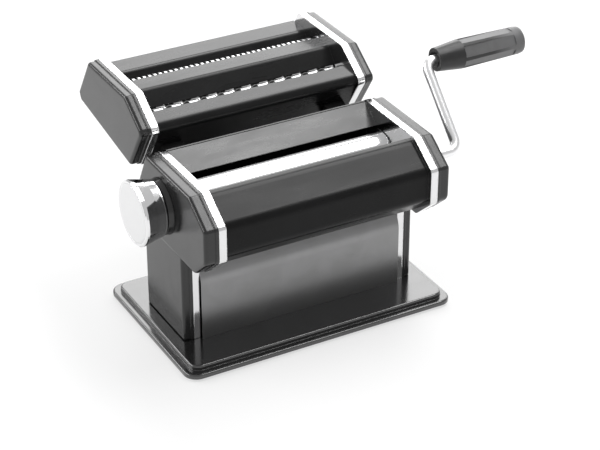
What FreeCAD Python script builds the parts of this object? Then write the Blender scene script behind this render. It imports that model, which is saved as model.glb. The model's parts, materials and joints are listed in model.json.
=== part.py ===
"""Hand-cranked pasta roller with a clip-on cutter unit, built as a parametric document.

X runs along the rollers (the crank is at +X), the front of the machine is at -Y and Z is up.
The origin is the centre of the base on the surface the feet stand on. Sizes are in millimetres.
"""
import FreeCAD, Part
import math
import os

import Sketcher

Vector = FreeCAD.Vector
doc = FreeCAD.newDocument("PastaRoller")
sheet = doc.addObject("Spreadsheet::Sheet", "Sheet")
nodes = []


class Size:
    """A number together with the spreadsheet expression that gives it."""

    def __init__(self, value, text):
        self.value = float(value)
        self.text = text

    def _with(self, other, sign, value):
        return Size(value, "(%s %s %s)" % (self.text, sign, as_size(other).text))

    def __add__(self, other):
        return self._with(other, "+", self.value + as_size(other).value)

    def __radd__(self, other):
        return as_size(other) + self

    def __sub__(self, other):
        return self._with(other, "-", self.value - as_size(other).value)

    def __rsub__(self, other):
        return as_size(other) - self

    def __mul__(self, other):
        return self._with(other, "*", self.value * as_size(other).value)

    def __rmul__(self, other):
        return as_size(other) * self

    def __truediv__(self, other):
        return self._with(other, "/", self.value / as_size(other).value)

    def __rtruediv__(self, other):
        return as_size(other) / self

    def __neg__(self):
        return Size(-self.value, "(0 - %s)" % self.text)


def as_size(x):
    return x if isinstance(x, Size) else Size(x, "%.9g" % x if x >= 0 else "(0 - %.9g)" % -x)


def number(x):
    return as_size(x).value


def root(x):
    return Size(math.sqrt(x.value), "sqrt(%s)" % x.text)


def size(name, value):
    """Write one driving dimension to the next row of the sheet and hand it back."""
    size.row += 1
    sheet.set("A%d" % size.row, name)
    sheet.set("B%d" % size.row, str(value))
    sheet.setAlias("B%d" % size.row, name)
    return Size(value, "Sheet." + name)


size.row = 0

# Rollers and the space between the side plates
roller_face = size("roller_face", 150.0)
roller_end_gap = size("roller_end_gap", 0.5)
roller_r = size("roller_r", 12.5)
roller_gap = size("roller_gap", 0.6)
roller_z = size("roller_z", 102.3)
front_roller_y = size("front_roller_y", -34.6)
roller_wall = size("roller_wall", 3.0)
roller_end_wall = size("roller_end_wall", 9.0)
running_clear = size("running_clear", 0.05)
free_clear = size("free_clear", 0.35)

# Base tray and feet
foot_height = size("foot_height", 1.5)
foot_r = size("foot_r", 6.0)
foot_flare = size("foot_flare", 0.6)
foot_inset = size("foot_inset", 10.5)
base_half_length = size("base_half_length", 101.3)
base_half_depth = size("base_half_depth", 64.5)
base_height = size("base_height", 6.8)
base_ledge_height = size("base_ledge_height", 3.2)
base_step = size("base_step", 4.8)
base_corner_r = size("base_corner_r", 9.5)
base_sheet = size("base_sheet", 1.4)
base_edge_r = size("base_edge_r", 1.3)

# Side plates, drawn from the front edge round to the leg
plate_sheet = size("plate_sheet", 1.2)
flange_depth = size("flange_depth", 5.2)
head_top = size("head_top", 128.6)
head_bottom = size("head_bottom", 73.4)
head_front_y = size("head_front_y", -70.6)
head_brow_y = size("head_brow_y", -47.7)
head_brow_z = size("head_brow_z", 113.5)
head_chin_z = size("head_chin_z", 88.9)
head_chin_y = size("head_chin_y", -53.0)
head_rear_y = size("head_rear_y", 17.3)
leg_front_y = size("leg_front_y", -29.6)
leg_rear_y = size("leg_rear_y", 29.6)
slope_foot_z = size("slope_foot_z", 105.5)
plate_corner_r = size("plate_corner_r", 4.0)

# Moulded end covers
cover_depth = size("cover_depth", 9.8)
leg_cover_depth = size("leg_cover_depth", 7.0)
cover_inset = size("cover_inset", 0.9)
cover_rim_inset = size("cover_rim_inset", 0.2)
cover_rim_depth = size("cover_rim_depth", 2.2)
cover_wall = size("cover_wall", 2.0)
cover_edge_r = size("cover_edge_r", 2.4)
cover_corner_r = size("cover_corner_r", 3.2)
cover_chin_r = size("cover_chin_r", 7.0)
leg_edge_r = size("leg_edge_r", 2.4)

# Sheet panels between the side plates
panel_sheet = size("panel_sheet", 1.0)
panel_bend_r = size("panel_bend_r", 2.6)
brow_bend_r = size("brow_bend_r", 7.0)
front_cover_inset = size("front_cover_inset", 3.3)
front_cover_rear_y = size("front_cover_rear_y", -41.5)
rear_cover_inset = size("rear_cover_inset", 1.0)
hopper_front_y = size("hopper_front_y", 0.8)
hopper_front_z = size("hopper_front_z", 115.8)
hopper_rear_in = size("hopper_rear_in", 2.1)
hopper_rear_drop = size("hopper_rear_drop", 1.2)
chute_front_y = size("chute_front_y", -32.0)
chute_knee_z = size("chute_knee_z", 54.0)
chute_top_y = size("chute_top_y", -14.0)
chute_top_z = size("chute_top_z", 87.0)
chute_bend_r = size("chute_bend_r", 16.0)
scraper_sheet = size("scraper_sheet", 0.8)
scraper_reach = size("scraper_reach", 12.0)

# Shafts, bushes and gears of the smooth rollers
shaft_r = size("shaft_r", 6.0)
bush_wall = size("bush_wall", 2.4)
bush_lip = size("bush_lip", 1.6)
bush_lip_depth = size("bush_lip_depth", 1.8)
gear_gap = size("gear_gap", 0.6)
gear_width = size("gear_width", 4.4)
gear_teeth = size("gear_teeth", 12)
gear_addendum = size("gear_addendum", 2.4)
gear_dedendum = size("gear_dedendum", 2.9)
tooth_tip_share = size("tooth_tip_share", 0.10)
tooth_root_share = size("tooth_root_share", 0.24)
shaft_stand_out = size("shaft_stand_out", 1.5)

# Roller adjuster
eccentric = size("eccentric", 1.2)
adjuster_r = size("adjuster_r", 4.0)
eccentric_r = size("eccentric_r", 5.6)
neck_r = size("neck_r", 8.2)
neck_wall = size("neck_wall", 2.2)
bracket_plate = size("bracket_plate", 3.0)
bracket_back = size("bracket_back", 3.0)
bracket_half_height = size("bracket_half_height", 12.0)
bracket_front = size("bracket_front", 10.6)
yoke_plate = size("yoke_plate", 1.8)
yoke_front = size("yoke_front", 8.6)
index_ring_r = size("index_ring_r", 19.4)
index_ring_depth = size("index_ring_depth", 4.0)
index_track_r = size("index_track_r", 14.0)
index_track_depth = size("index_track_depth", 2.0)
index_pin_r = size("index_pin_r", 1.3)
index_pin_reach = size("index_pin_reach", 1.4)
setting_count = size("setting_count", 9)
setting_arc = size("setting_arc", 180.0)
knob_r = size("knob_r", 22.4)
knob_foot_r = size("knob_foot_r", 18.9)
knob_bead_r = size("knob_bead_r", 19.6)
knob_bead = size("knob_bead", 1.5)
knob_waist_r = size("knob_waist_r", 20.5)
knob_waist = size("knob_waist", 5.1)
knob_length = size("knob_length", 16.6)
knob_edge = size("knob_edge", 0.9)
knob_rim = size("knob_rim", 1.3)
knob_web = size("knob_web", 3.0)
knob_cavity_r = size("knob_cavity_r", 9.0)
knob_flat = size("knob_flat", 3.0)
knob_face_depth = size("knob_face_depth", 2.2)
knob_face_crown = size("knob_face_crown", 0.5)
knob_spring_r = size("knob_spring_r", 6.2)
knob_spring_wire = size("knob_spring_wire", 0.9)
knob_spring_length = size("knob_spring_length", 7.4)
knob_washer_r = size("knob_washer_r", 7.0)
knob_washer = size("knob_washer", 1.0)

# Crank
crank_rod_r = size("crank_rod_r", 3.75)
crank_depth = size("crank_depth", 15.0)
crank_room = size("crank_room", 1.0)
crank_arm_x = size("crank_arm_x", 119.5)
crank_arm_length = size("crank_arm_length", 65.0)
crank_bend_r = size("crank_bend_r", 7.5)
crank_tilt = size("crank_tilt", 44.0)
crank_pin_r = size("crank_pin_r", 1.25)
crank_pin_setback = size("crank_pin_setback", 2.6)
crank_slot_clear = size("crank_slot_clear", 0.15)
grip_length = size("grip_length", 70.0)
grip_neck_r = size("grip_neck_r", 8.3)
grip_r = size("grip_r", 10.4)
grip_taper = size("grip_taper", 19.3)
grip_end_r = size("grip_end_r", 3.0)
grip_flutes = size("grip_flutes", 6)
grip_flute_width = size("grip_flute_width", 7.8)
grip_flute_depth = size("grip_flute_depth", 1.3)
grip_flute_gap = size("grip_flute_gap", 5.0)
grip_cap_depth = size("grip_cap_depth", 4.0)
grip_mouth_wall = size("grip_mouth_wall", 2.0)
grip_mouth_depth = size("grip_mouth_depth", 2.6)
grip_clip_r = size("grip_clip_r", 5.4)
grip_clip_width = size("grip_clip_width", 1.4)
grip_clip_setback = size("grip_clip_setback", 0.8)

# Tie rods and their screws
tie_r = size("tie_r", 3.6)
tie_screw_r = size("tie_screw_r", 1.8)
tie_screw_depth = size("tie_screw_depth", 8.0)
tie_head_r = size("tie_head_r", 4.0)
tie_head = size("tie_head", 2.0)
screw_clear = size("screw_clear", 0.1)
base_screw_y = size("base_screw_y", 20.0)
base_screw_r = size("base_screw_r", 1.4)
tie_screw_room = size("tie_screw_room", 1.0)
tie_gap = size("tie_gap", 2.0)
tie_low_rise = size("tie_low_rise", 30.0)
tie_high_drop = size("tie_high_drop", 24.0)
unit_tie_rise = size("unit_tie_rise", 2.0)

# Cutter unit: its own side plates, covers and panels
unit_top_rise = size("unit_top_rise", 15.2)
unit_front_back = size("unit_front_back", 1.0)
unit_nose_reach = size("unit_nose_reach", 25.0)
unit_nose_rise = size("unit_nose_rise", 8.3)
unit_nose_r = size("unit_nose_r", 4.5)
unit_heel_reach = size("unit_heel_reach", 2.8)
unit_heel_drop = size("unit_heel_drop", 25.9)
unit_rear_top_in = size("unit_rear_top_in", 7.7)
unit_rear_reach = size("unit_rear_reach", 12.3)
unit_rear_drop = size("unit_rear_drop", 7.6)
unit_tail_reach = size("unit_tail_reach", 9.0)
unit_tail_drop = size("unit_tail_drop", 14.6)
unit_cover_depth = size("unit_cover_depth", 8.0)
unit_cover_wall = size("unit_cover_wall", 1.4)
unit_cowl_rear_reach = size("unit_cowl_rear_reach", 8.3)
unit_cowl_rear_rise = size("unit_cowl_rear_rise", 4.0)
unit_cowl_nose_reach = size("unit_cowl_nose_reach", 12.6)
unit_cowl_nose_rise = size("unit_cowl_nose_rise", 9.4)
unit_cowl_drop = size("unit_cowl_drop", 33.5)
unit_cowl_bend_r = size("unit_cowl_bend_r", 5.0)
unit_roof_clear = size("unit_roof_clear", 6.5)
unit_roof_rear_in = size("unit_roof_rear_in", 4.2)
unit_roof_front_in = size("unit_roof_front_in", 0.6)
unit_roof_lift = size("unit_roof_lift", 0.8)
unit_lip_gap = size("unit_lip_gap", 1.9)
unit_shelf_front_in = size("unit_shelf_front_in", 6.2)
unit_shelf_front_clear = size("unit_shelf_front_clear", 2.9)
unit_shelf_rear_out = size("unit_shelf_rear_out", 10.1)
unit_shelf_rear_clear = size("unit_shelf_rear_clear", 4.1)
unit_guide_gap = size("unit_guide_gap", 1.8)
unit_tie_reach = size("unit_tie_reach", 3.0)
unit_tie_drop = size("unit_tie_drop", 8.1)

# Cutting rollers
cutter_r = size("cutter_r", 10.4)
cutter_overlap = size("cutter_overlap", 1.4)
cutter_groove = size("cutter_groove", 1.9)
cutter_side_clear = size("cutter_side_clear", 0.15)
cutter_shaft_r = size("cutter_shaft_r", 5.5)
cutter_addendum = size("cutter_addendum", 1.7)
cutter_dedendum = size("cutter_dedendum", 2.1)
wide_set = size("wide_set", 32.165)
wide_z = size("wide_z", 130.6)
wide_pitch = size("wide_pitch", 13.0)
wide_rings = size("wide_rings", 11)
pair_gap = size("pair_gap", 0.2)
narrow_rise = size("narrow_rise", 4.5)
narrow_drop = size("narrow_drop", 2.0)
narrow_pitch = size("narrow_pitch", 4.0)
narrow_rings = size("narrow_rings", 37)
comb_sheet = size("comb_sheet", 1.0)
comb_height = size("comb_height", 6.0)
comb_setback = size("comb_setback", 3.0)
comb_side_clear = size("comb_side_clear", 0.3)

# Rails that the cutter unit slides down on
rail_x = size("rail_x", 62.0)
rail_length = size("rail_length", 10.0)
rail_foot = size("rail_foot", 1.0)
rail_stem = size("rail_stem", 4.0)
rail_head = size("rail_head", 10.0)
rail_head_depth = size("rail_head_depth", 2.4)
channel_wall = size("channel_wall", 2.0)
channel_lip = size("channel_lip", 2.0)

doc.recompute()

# Places worked out from the sizes above
web_in = roller_face / 2 + roller_end_gap
web_out = web_in + plate_sheet
flange_out = web_in + flange_depth
cover_face = flange_out + cover_depth
leg_face = flange_out + leg_cover_depth
unit_face = flange_out + unit_cover_depth
cover_in = cover_face - cover_wall
base_top = foot_height + base_height
ledge_z = foot_height + base_ledge_height
hopper_rear_y = head_rear_y - hopper_rear_in
hopper_rear_z = head_top - hopper_rear_drop
roller_spacing = roller_r * 2 + roller_gap
rear_roller_y = front_roller_y + roller_spacing
adjuster_y = rear_roller_y + eccentric
neck_bore_r = neck_r - neck_wall
gear_in = web_in + bracket_plate + gear_gap
gear_out = gear_in + gear_width
yoke_in = gear_out + gear_gap
yoke_out = yoke_in + yoke_plate
bush_r = shaft_r + running_clear + bush_wall
cutter_spacing = cutter_r * 2 - cutter_overlap
cutter_bush_r = cutter_shaft_r + running_clear + bush_wall
adjuster_bush_r = adjuster_r + running_clear + bush_wall
crank_clear = running_clear * 2
gear_in_unit = web_out + bush_lip_depth + gear_gap
gear_out_unit = gear_in_unit + gear_width
journal_end = web_out + bush_lip_depth + gear_gap
narrow_run = root(cutter_spacing * cutter_spacing - narrow_drop * narrow_drop)
slope_run = leg_rear_y - head_rear_y
slope_rise = head_top - slope_foot_z
slope_long = root(slope_run * slope_run + slope_rise * slope_rise)
wide_front_y = head_rear_y + (head_top - wide_z) * slope_run / slope_rise + wide_set
wide_rear_y = wide_front_y + cutter_spacing
narrow_front_y = wide_rear_y + cutter_r * 2 + pair_gap
narrow_front_z = wide_z + narrow_rise
narrow_rear_y = narrow_front_y + narrow_run
narrow_rear_z = narrow_front_z - narrow_drop
unit_top = wide_z + cutter_r + unit_top_rise
unit_front_y = wide_front_y + unit_front_back
unit_nose_y = wide_front_y - unit_nose_reach
unit_nose_z = wide_z + unit_nose_rise
unit_heel_y = wide_front_y - unit_heel_reach
unit_heel_z = wide_z - unit_heel_drop
unit_rear_top_y = narrow_rear_y + cutter_r - unit_rear_top_in
unit_rear_y = narrow_rear_y + cutter_r + unit_rear_reach
unit_rear_z = narrow_rear_z - unit_rear_drop
unit_tail_y = narrow_rear_y + cutter_r + unit_tail_reach
unit_tail_z = narrow_rear_z - unit_tail_drop
unit_cowl_rear_y = wide_front_y - unit_cowl_rear_reach
unit_cowl_rear_z = wide_z + cutter_r + unit_cowl_rear_rise
unit_cowl_nose_y = wide_front_y - cutter_r - unit_cowl_nose_reach
unit_cowl_nose_z = wide_z + unit_cowl_nose_rise
unit_roof_z = wide_z + cutter_r + unit_roof_clear
unit_roof_rear_y = narrow_front_y - unit_roof_rear_in
unit_roof_front_y = wide_rear_y - unit_roof_front_in
unit_roof_front_z = unit_roof_z + unit_roof_lift
nip_half = cutter_spacing / 2
lip_away = cutter_r + unit_lip_gap
unit_lip_y = wide_rear_y - nip_half
unit_lip_z = wide_z + root(lip_away * lip_away - nip_half * nip_half)
unit_shelf_front_y = narrow_rear_y - unit_shelf_front_in
unit_shelf_front_z = narrow_rear_z + cutter_r + unit_shelf_front_clear
unit_shelf_rear_y = narrow_rear_y + unit_shelf_rear_out
unit_shelf_rear_z = narrow_rear_z + cutter_r + unit_shelf_rear_clear
guide_away = cutter_r + unit_guide_gap
unit_guide_y = narrow_rear_y - narrow_run / 2
unit_guide_z = narrow_rear_z + narrow_drop / 2 + root(guide_away * guide_away - nip_half * nip_half)
unit_tie_y = narrow_rear_y + cutter_r + unit_tie_reach
unit_tie_z = narrow_rear_z - unit_tie_drop
unit_cowl_foot_y = unit_cowl_nose_y + unit_cowl_drop * slope_run / slope_long
unit_cowl_foot_z = unit_cowl_nose_z - unit_cowl_drop * slope_rise / slope_long

HEAD = [
    (leg_rear_y, slope_foot_z),
    (head_rear_y, head_top),
    (head_brow_y, head_top),
    (head_front_y, head_brow_z),
    (head_front_y, head_chin_z),
    (head_chin_y, head_bottom),
]
PLATE = HEAD + [(leg_front_y, head_bottom), (leg_front_y, base_top), (leg_rear_y, base_top)]
HEAD_ONLY = HEAD + [(leg_rear_y, head_bottom)]
UNIT = [
    (unit_rear_top_y, unit_top),
    (unit_front_y, unit_top),
    (unit_nose_y, unit_nose_z),
    (unit_heel_y, unit_heel_z),
    (unit_tail_y, unit_tail_z),
    (unit_rear_y, unit_rear_z),
]


def bind(thing, prop, value):
    thing.setExpression(prop, as_size(value).text)


def origin_part(body, role):
    return next(f for f in body.Origin.OriginFeatures if f.Role == role)


def new_body(label, y=0.0, z=0.0, turn=0.0, alone=True):
    """A body whose own X axis lies at (y, z), turned about X by an angle in degrees."""
    body = doc.addObject("PartDesign::Body", label)
    body.Label = label
    rotation = FreeCAD.Rotation(Vector(1, 0, 0), number(turn) or 1e-9)
    body.Placement = FreeCAD.Placement(Vector(0, number(y), number(z)), rotation)
    bind(body, "Placement.Base.y", y)
    bind(body, "Placement.Base.z", z)
    if number(turn):
        bind(body, "Placement.Rotation.Angle", turn)
    else:
        body.Placement = FreeCAD.Placement(Vector(0, number(y), number(z)), FreeCAD.Rotation())
    if alone:
        nodes.append(body)
    return body


def new_sketch(body, name, role="YZ_Plane", at=0.0):
    sketch = body.newObject("Sketcher::SketchObject", name)
    sketch.AttachmentSupport = [(origin_part(body, role), "")]
    sketch.MapMode = "FlatFace"
    bind(sketch, "AttachmentOffset.Base.z", at)
    return sketch


def dimension(sketch, kind, *where_and_value):
    """Add a dimension whose last argument is a size, and tie it to that size."""
    *where, value = where_and_value
    index = sketch.addConstraint(Sketcher.Constraint(kind, *where, number(value)))
    bind(sketch, "Constraints[%d]" % index, value)


def draw_loop(sketch, points, construction=False):
    """Draw a closed outline whose corners are pinned to their sizes; give its first line."""
    first = sketch.GeometryCount
    count = len(points)
    spots = [Vector(number(u), number(v), 0) for u, v in points]
    for i in range(count):
        line = Part.LineSegment(spots[i], spots[(i + 1) % count])
        sketch.addGeometry(line, construction)
    for i in range(count):
        here, there = first + i, first + (i + 1) % count
        sketch.addConstraint(Sketcher.Constraint("Coincident", here, 2, there, 1))
    for i, (u, v) in enumerate(points):
        dimension(sketch, "DistanceX", first + i, 1, u)
        dimension(sketch, "DistanceY", first + i, 1, v)
    return first


def draw_circle(sketch, u, v, r):
    ring = Part.Circle(Vector(number(u), number(v), 0), Vector(0, 0, 1), number(r))
    index = sketch.addGeometry(ring, False)
    dimension(sketch, "DistanceX", index, 3, u)
    dimension(sketch, "DistanceY", index, 3, v)
    dimension(sketch, "Radius", index, r)


def draw_box(sketch, u0, u1, v0, v1):
    draw_loop(sketch, [(u0, v0), (u1, v0), (u1, v1), (u0, v1)])


def shifted(points, distance, closed):
    """Corners of an outline moved sideways, to the left of its direction, by a distance."""
    spots = [Vector(number(u), number(v), 0) for u, v in points]
    count = len(spots)
    lines = []
    for i in range(count if closed else count - 1):
        along = (spots[(i + 1) % count] - spots[i]).normalize()
        side = Vector(-along.y, along.x, 0) * distance
        lines.append((spots[i] + side, along, spots[(i + 1) % count] + side))
    corners = []
    for i in range(count):
        if not closed and i == 0:
            corners.append(lines[0][0])
        elif not closed and i == count - 1:
            corners.append(lines[-1][2])
        else:
            start, along, end = lines[i - 1]
            other, across, far = lines[i % len(lines)]
            gap = other - start
            turn = along.x * across.y - along.y * across.x
            corners.append(start + along * ((gap.x * across.y - gap.y * across.x) / turn))
    return corners


def draw_inset(sketch, points, inset):
    """Draw a closed outline that lies inside a pinned one by a size on every side."""
    guide = draw_loop(sketch, points, construction=True)
    corners = shifted(points, number(inset), closed=True)
    count = len(points)
    first = sketch.GeometryCount
    for i in range(count):
        sketch.addGeometry(Part.LineSegment(corners[i], corners[(i + 1) % count]), False)
    for i in range(count):
        here, there = first + i, first + (i + 1) % count
        sketch.addConstraint(Sketcher.Constraint("Coincident", here, 2, there, 1))
    for i in range(count):
        sketch.addConstraint(Sketcher.Constraint("Parallel", first + i, guide + i))
        dimension(sketch, "Distance", first + i, 1, guide + i, inset)


def draw_strip(sketch, points, inset, thickness):
    """Draw the section of a bent sheet that follows an open line on its left-hand side."""
    count = len(points)
    spots = [Vector(number(u), number(v), 0) for u, v in points]
    guide = sketch.GeometryCount
    for i in range(count - 1):
        sketch.addGeometry(Part.LineSegment(spots[i], spots[i + 1]), True)
        if i:
            sketch.addConstraint(Sketcher.Constraint("Coincident", guide + i - 1, 2, guide + i, 1))
    for i, (u, v) in enumerate(points):
        where = (guide + i, 1) if i < count - 1 else (guide + i - 1, 2)
        dimension(sketch, "DistanceX", *where, u)
        dimension(sketch, "DistanceY", *where, v)
    near = shifted(points, max(number(inset), 0.0), closed=False)
    far = shifted(points, number(inset) + number(thickness), closed=False)
    loop = near + far[::-1]
    first = sketch.GeometryCount
    total = len(loop)
    for i in range(total):
        sketch.addGeometry(Part.LineSegment(loop[i], loop[(i + 1) % total]), False)
    for i in range(total):
        here, there = first + i, first + (i + 1) % total
        sketch.addConstraint(Sketcher.Constraint("Coincident", here, 2, there, 1))
    for i in range(count - 1):
        outer, inner = first + i, first + total - 2 - i
        if number(inset):
            sketch.addConstraint(Sketcher.Constraint("Parallel", outer, guide + i))
            dimension(sketch, "Distance", outer, 1, guide + i, inset)
        elif i == 0:
            sketch.addConstraint(Sketcher.Constraint("Coincident", outer, 1, guide, 1))
        if not number(inset):
            sketch.addConstraint(Sketcher.Constraint("Coincident", outer, 2, guide + i, 2))
        sketch.addConstraint(Sketcher.Constraint("Parallel", inner, guide + i))
        dimension(sketch, "Distance", inner, 1, guide + i, as_size(inset) + thickness)
    foot, end = first + total - 1, first + count - 1
    sketch.addConstraint(Sketcher.Constraint("Perpendicular", foot, guide))
    sketch.addConstraint(Sketcher.Constraint("Perpendicular", end, guide + count - 2))
    if number(inset):
        sketch.addConstraint(Sketcher.Constraint("PointOnObject", guide, 1, foot))
        sketch.addConstraint(Sketcher.Constraint("PointOnObject", guide + count - 2, 2, end))


def pad(body, sketch, length):
    feature = body.newObject("PartDesign::Pad", sketch.Name + "Pad")
    feature.Profile = sketch
    bind(feature, "Length", length)
    return feature


def pocket(body, sketch, length):
    """Cut from the sketch's plane back against its normal, and make sure that it cut."""
    doc.recompute()
    before = body.Shape.Volume
    feature = body.newObject("PartDesign::Pocket", sketch.Name + "Pocket")
    feature.Profile = sketch
    bind(feature, "Length", length)
    doc.recompute()
    if body.Shape.Volume >= before - 1e-6:
        raise RuntimeError("%s cut nothing" % sketch.Name)
    return feature


def slab(body, name, points, x0, x1, inset=None):
    """Solid of a Y-Z outline between two planes of constant X."""
    sketch = new_sketch(body, name, at=x0)
    if inset is None:
        draw_loop(sketch, points)
    else:
        draw_inset(sketch, points, inset)
    return pad(body, sketch, as_size(x1) - x0)


def hollow(body, name, points, x0, x1, inset):
    """Cut a Y-Z outline, moved inwards by an inset, out of a body between two X planes."""
    sketch = new_sketch(body, name, at=x1)
    draw_inset(sketch, points, inset)
    return pocket(body, sketch, as_size(x1) - x0)


def drill(body, name, holes, x0, x1):
    """Cut round holes, given as (y, z, radius), between two planes of constant X."""
    sketch = new_sketch(body, name, at=x1)
    for y, z, r in holes:
        draw_circle(sketch, y, z, r)
    return pocket(body, sketch, as_size(x1) - x0)


def turn_round(body, name, points, cut=False):
    """Revolve an (x, radius) outline about the body's own X axis."""
    sketch = new_sketch(body, name, "XZ_Plane")
    draw_loop(sketch, points)
    kind = "PartDesign::Groove" if cut else "PartDesign::Revolution"
    feature = body.newObject(kind, name + "Turned")
    feature.Profile = sketch
    feature.ReferenceAxis = (sketch, ["H_Axis"])
    feature.Angle = 360
    return feature


def round_along_x(body, corners, radius):
    """Fillet the edges that run along X through the given (y, z) corners."""
    doc.recompute()
    names = []
    for i, edge in enumerate(body.Tip.Shape.Edges, 1):
        ends = [v.Point for v in edge.Vertexes]
        if len(ends) != 2 or (ends[1] - ends[0]).cross(Vector(1, 0, 0)).Length > 1e-4:
            continue
        for y, z in corners:
            if math.hypot(ends[0].y - number(y), ends[0].z - number(z)) < 1e-3:
                names.append("Edge%d" % i)
    if len(names) < len(corners):
        raise RuntimeError("%s: an edge to round is missing" % body.Label)
    fillet(body, names, radius)


def round_rim(body, x, radius, keep=lambda edge: True):
    """Fillet the edges that lie in one plane of constant X."""
    doc.recompute()
    names = []
    for i, edge in enumerate(body.Tip.Shape.Edges, 1):
        box = edge.BoundBox
        if abs(box.XMin - number(x)) < 1e-3 and abs(box.XMax - number(x)) < 1e-3 and keep(edge):
            names.append("Edge%d" % i)
    fillet(body, names, radius)


def fillet(body, names, radius):
    tip = body.Tip
    feature = body.newObject("PartDesign::Fillet", body.Name + "Round")
    feature.Base = (tip, names)
    bind(feature, "Radius", radius)
    body.Tip = feature
    doc.recompute()


def bent_sheet(label, points, thickness, inset=0.0, bend_r=None):
    """Sheet panel from side plate to side plate that follows an open Y-Z line."""
    body = new_body(label)
    sketch = new_sketch(body, label + "Section", at=-web_in)
    draw_strip(sketch, points, inset, thickness)
    pad(body, sketch, web_in * 2)
    if bend_r is not None:
        close = shifted(points, number(inset), closed=False)[1:-1]
        deep = shifted(points, number(inset) + number(thickness), closed=False)[1:-1]
        spots = [Vector(number(u), number(v), 0) for u, v in points]
        for i in range(1, len(spots) - 1):
            way_in, way_out = spots[i] - spots[i - 1], spots[i + 1] - spots[i]
            left = way_in.x * way_out.y - way_in.y * way_out.x > 0
            tight, loose = (deep, close) if left else (close, deep)
            round_along_x(body, [(tight[i - 1].x, tight[i - 1].y)], bend_r)
            round_along_x(body, [(loose[i - 1].x, loose[i - 1].y)], bend_r + thickness)
    return body


def rod(name, x0, x1, y, z, r):
    """Round bar along X, as a plain solid to be joined, cut or grouped."""
    bar = doc.addObject("Part::Cylinder", name)
    bar.Placement = FreeCAD.Placement(Vector(), FreeCAD.Rotation(Vector(0, 1, 0), 90))
    bind(bar, "Radius", r)
    bind(bar, "Height", as_size(x1) - x0)
    bind(bar, "Placement.Base.x", x0)
    bind(bar, "Placement.Base.y", y)
    bind(bar, "Placement.Base.z", z)
    return bar


def post(name, x, y, z0, z1, r0, r1=None):
    """Upright round post or cone."""
    bar = doc.addObject("Part::Cone", name) if r1 is not None else doc.addObject("Part::Cylinder", name)
    if r1 is not None:
        bind(bar, "Radius1", r0)
        bind(bar, "Radius2", r1)
    else:
        bind(bar, "Radius", r0)
    bind(bar, "Height", as_size(z1) - z0)
    bind(bar, "Placement.Base.x", x)
    bind(bar, "Placement.Base.y", y)
    bind(bar, "Placement.Base.z", z0)
    return bar


def joined(name, first, second):
    both = doc.addObject("Part::Fuse", name)
    both.Base = first
    both.Tool = second
    return both


def less(name, first, second):
    rest = doc.addObject("Part::Cut", name)
    rest.Base = first
    rest.Tool = second
    return rest


def group(label, pieces):
    whole = doc.addObject("Part::Compound", label)
    whole.Label = label
    whole.Links = pieces
    nodes.append(whole)
    return whole


def span(side, near, far):
    """The two X planes of a piece that lies between two distances out from the middle."""
    return (near, far) if side > 0 else (-as_size(far), -as_size(near))


def base_and_feet():
    """Pressed tray with a stepped rim, hollow from below, on four rubber feet."""
    body = new_body("base_plate")
    lower = new_sketch(body, "BaseRim", "XY_Plane", foot_height)
    draw_box(lower, -base_half_length, base_half_length, -base_half_depth, base_half_depth)
    pad(body, lower, base_ledge_height)
    top_x, top_y = base_half_length - base_step, base_half_depth - base_step
    upper = new_sketch(body, "BasePlateau", "XY_Plane", ledge_z)
    draw_box(upper, -top_x, top_x, -top_y, top_y)
    pad(body, upper, base_top - ledge_z)
    round_upright(body, base_half_length, base_half_depth, base_corner_r)
    round_upright(body, top_x, top_y, base_corner_r - base_step / 2)
    round_level(body, base_top, base_edge_r)
    round_level(body, ledge_z, base_edge_r, outer=base_half_length - base_step / 2)
    for name, x, y, z0, z1, r in (
        ("RimHollow", base_half_length, base_half_depth, foot_height, ledge_z, base_corner_r),
        ("PlateauHollow", top_x, top_y, foot_height, base_top, base_corner_r - base_step / 2),
    ):
        sketch = new_sketch(body, name, "XY_Plane", z1 - base_sheet)
        draw_rounded_box(sketch, x - base_sheet, y - base_sheet, r - base_sheet)
        pocket(body, sketch, z1 - base_sheet - z0)
    screws = new_sketch(body, "BaseScrewHoles", "XY_Plane", base_top)
    for x, y in base_screw_places():
        draw_circle(screws, x, y, base_screw_r + screw_clear)
    pocket(body, screws, base_sheet)

    feet = []
    for i, (sx, sy) in enumerate(((-1, -1), (1, -1), (-1, 1), (1, 1))):
        x, y = (base_half_length - foot_inset) * sx, (base_half_depth - foot_inset) * sy
        feet.append(post("Foot%d" % i, x, y, 0.0, ledge_z - base_sheet, foot_r, foot_r + foot_flare))
    group("rubber_feet", feet)

    screws = []
    for i, (x, y) in enumerate(base_screw_places()):
        under = base_top - base_sheet
        head = post("BaseHead%d" % i, x, y, under - tie_head, under, tie_head_r)
        shank = post("BaseShank%d" % i, x, y, under - tie_head, base_top + plate_sheet * 2, base_screw_r)
        screws.append(joined("BaseScrew%d" % i, head, shank))
    group("base_screws", screws)


def base_screw_places():
    """Under the foot flange of each side plate, half way across the flange."""
    across = (web_out + flange_out) / 2
    return [(across * sx, base_screw_y * sy) for sx in (-1, 1) for sy in (-1, 1)]


def round_upright(body, x, y, radius):
    """Fillet the four upright corner edges of a box centred on the origin."""
    doc.recompute()
    names = []
    for i, edge in enumerate(body.Tip.Shape.Edges, 1):
        box = edge.BoundBox
        upright = box.XLength < 1e-4 and box.YLength < 1e-4
        if upright and abs(abs(box.XMin) - number(x)) < 1e-3 and abs(abs(box.YMin) - number(y)) < 1e-3:
            names.append("Edge%d" % i)
    fillet(body, names, radius)


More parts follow.
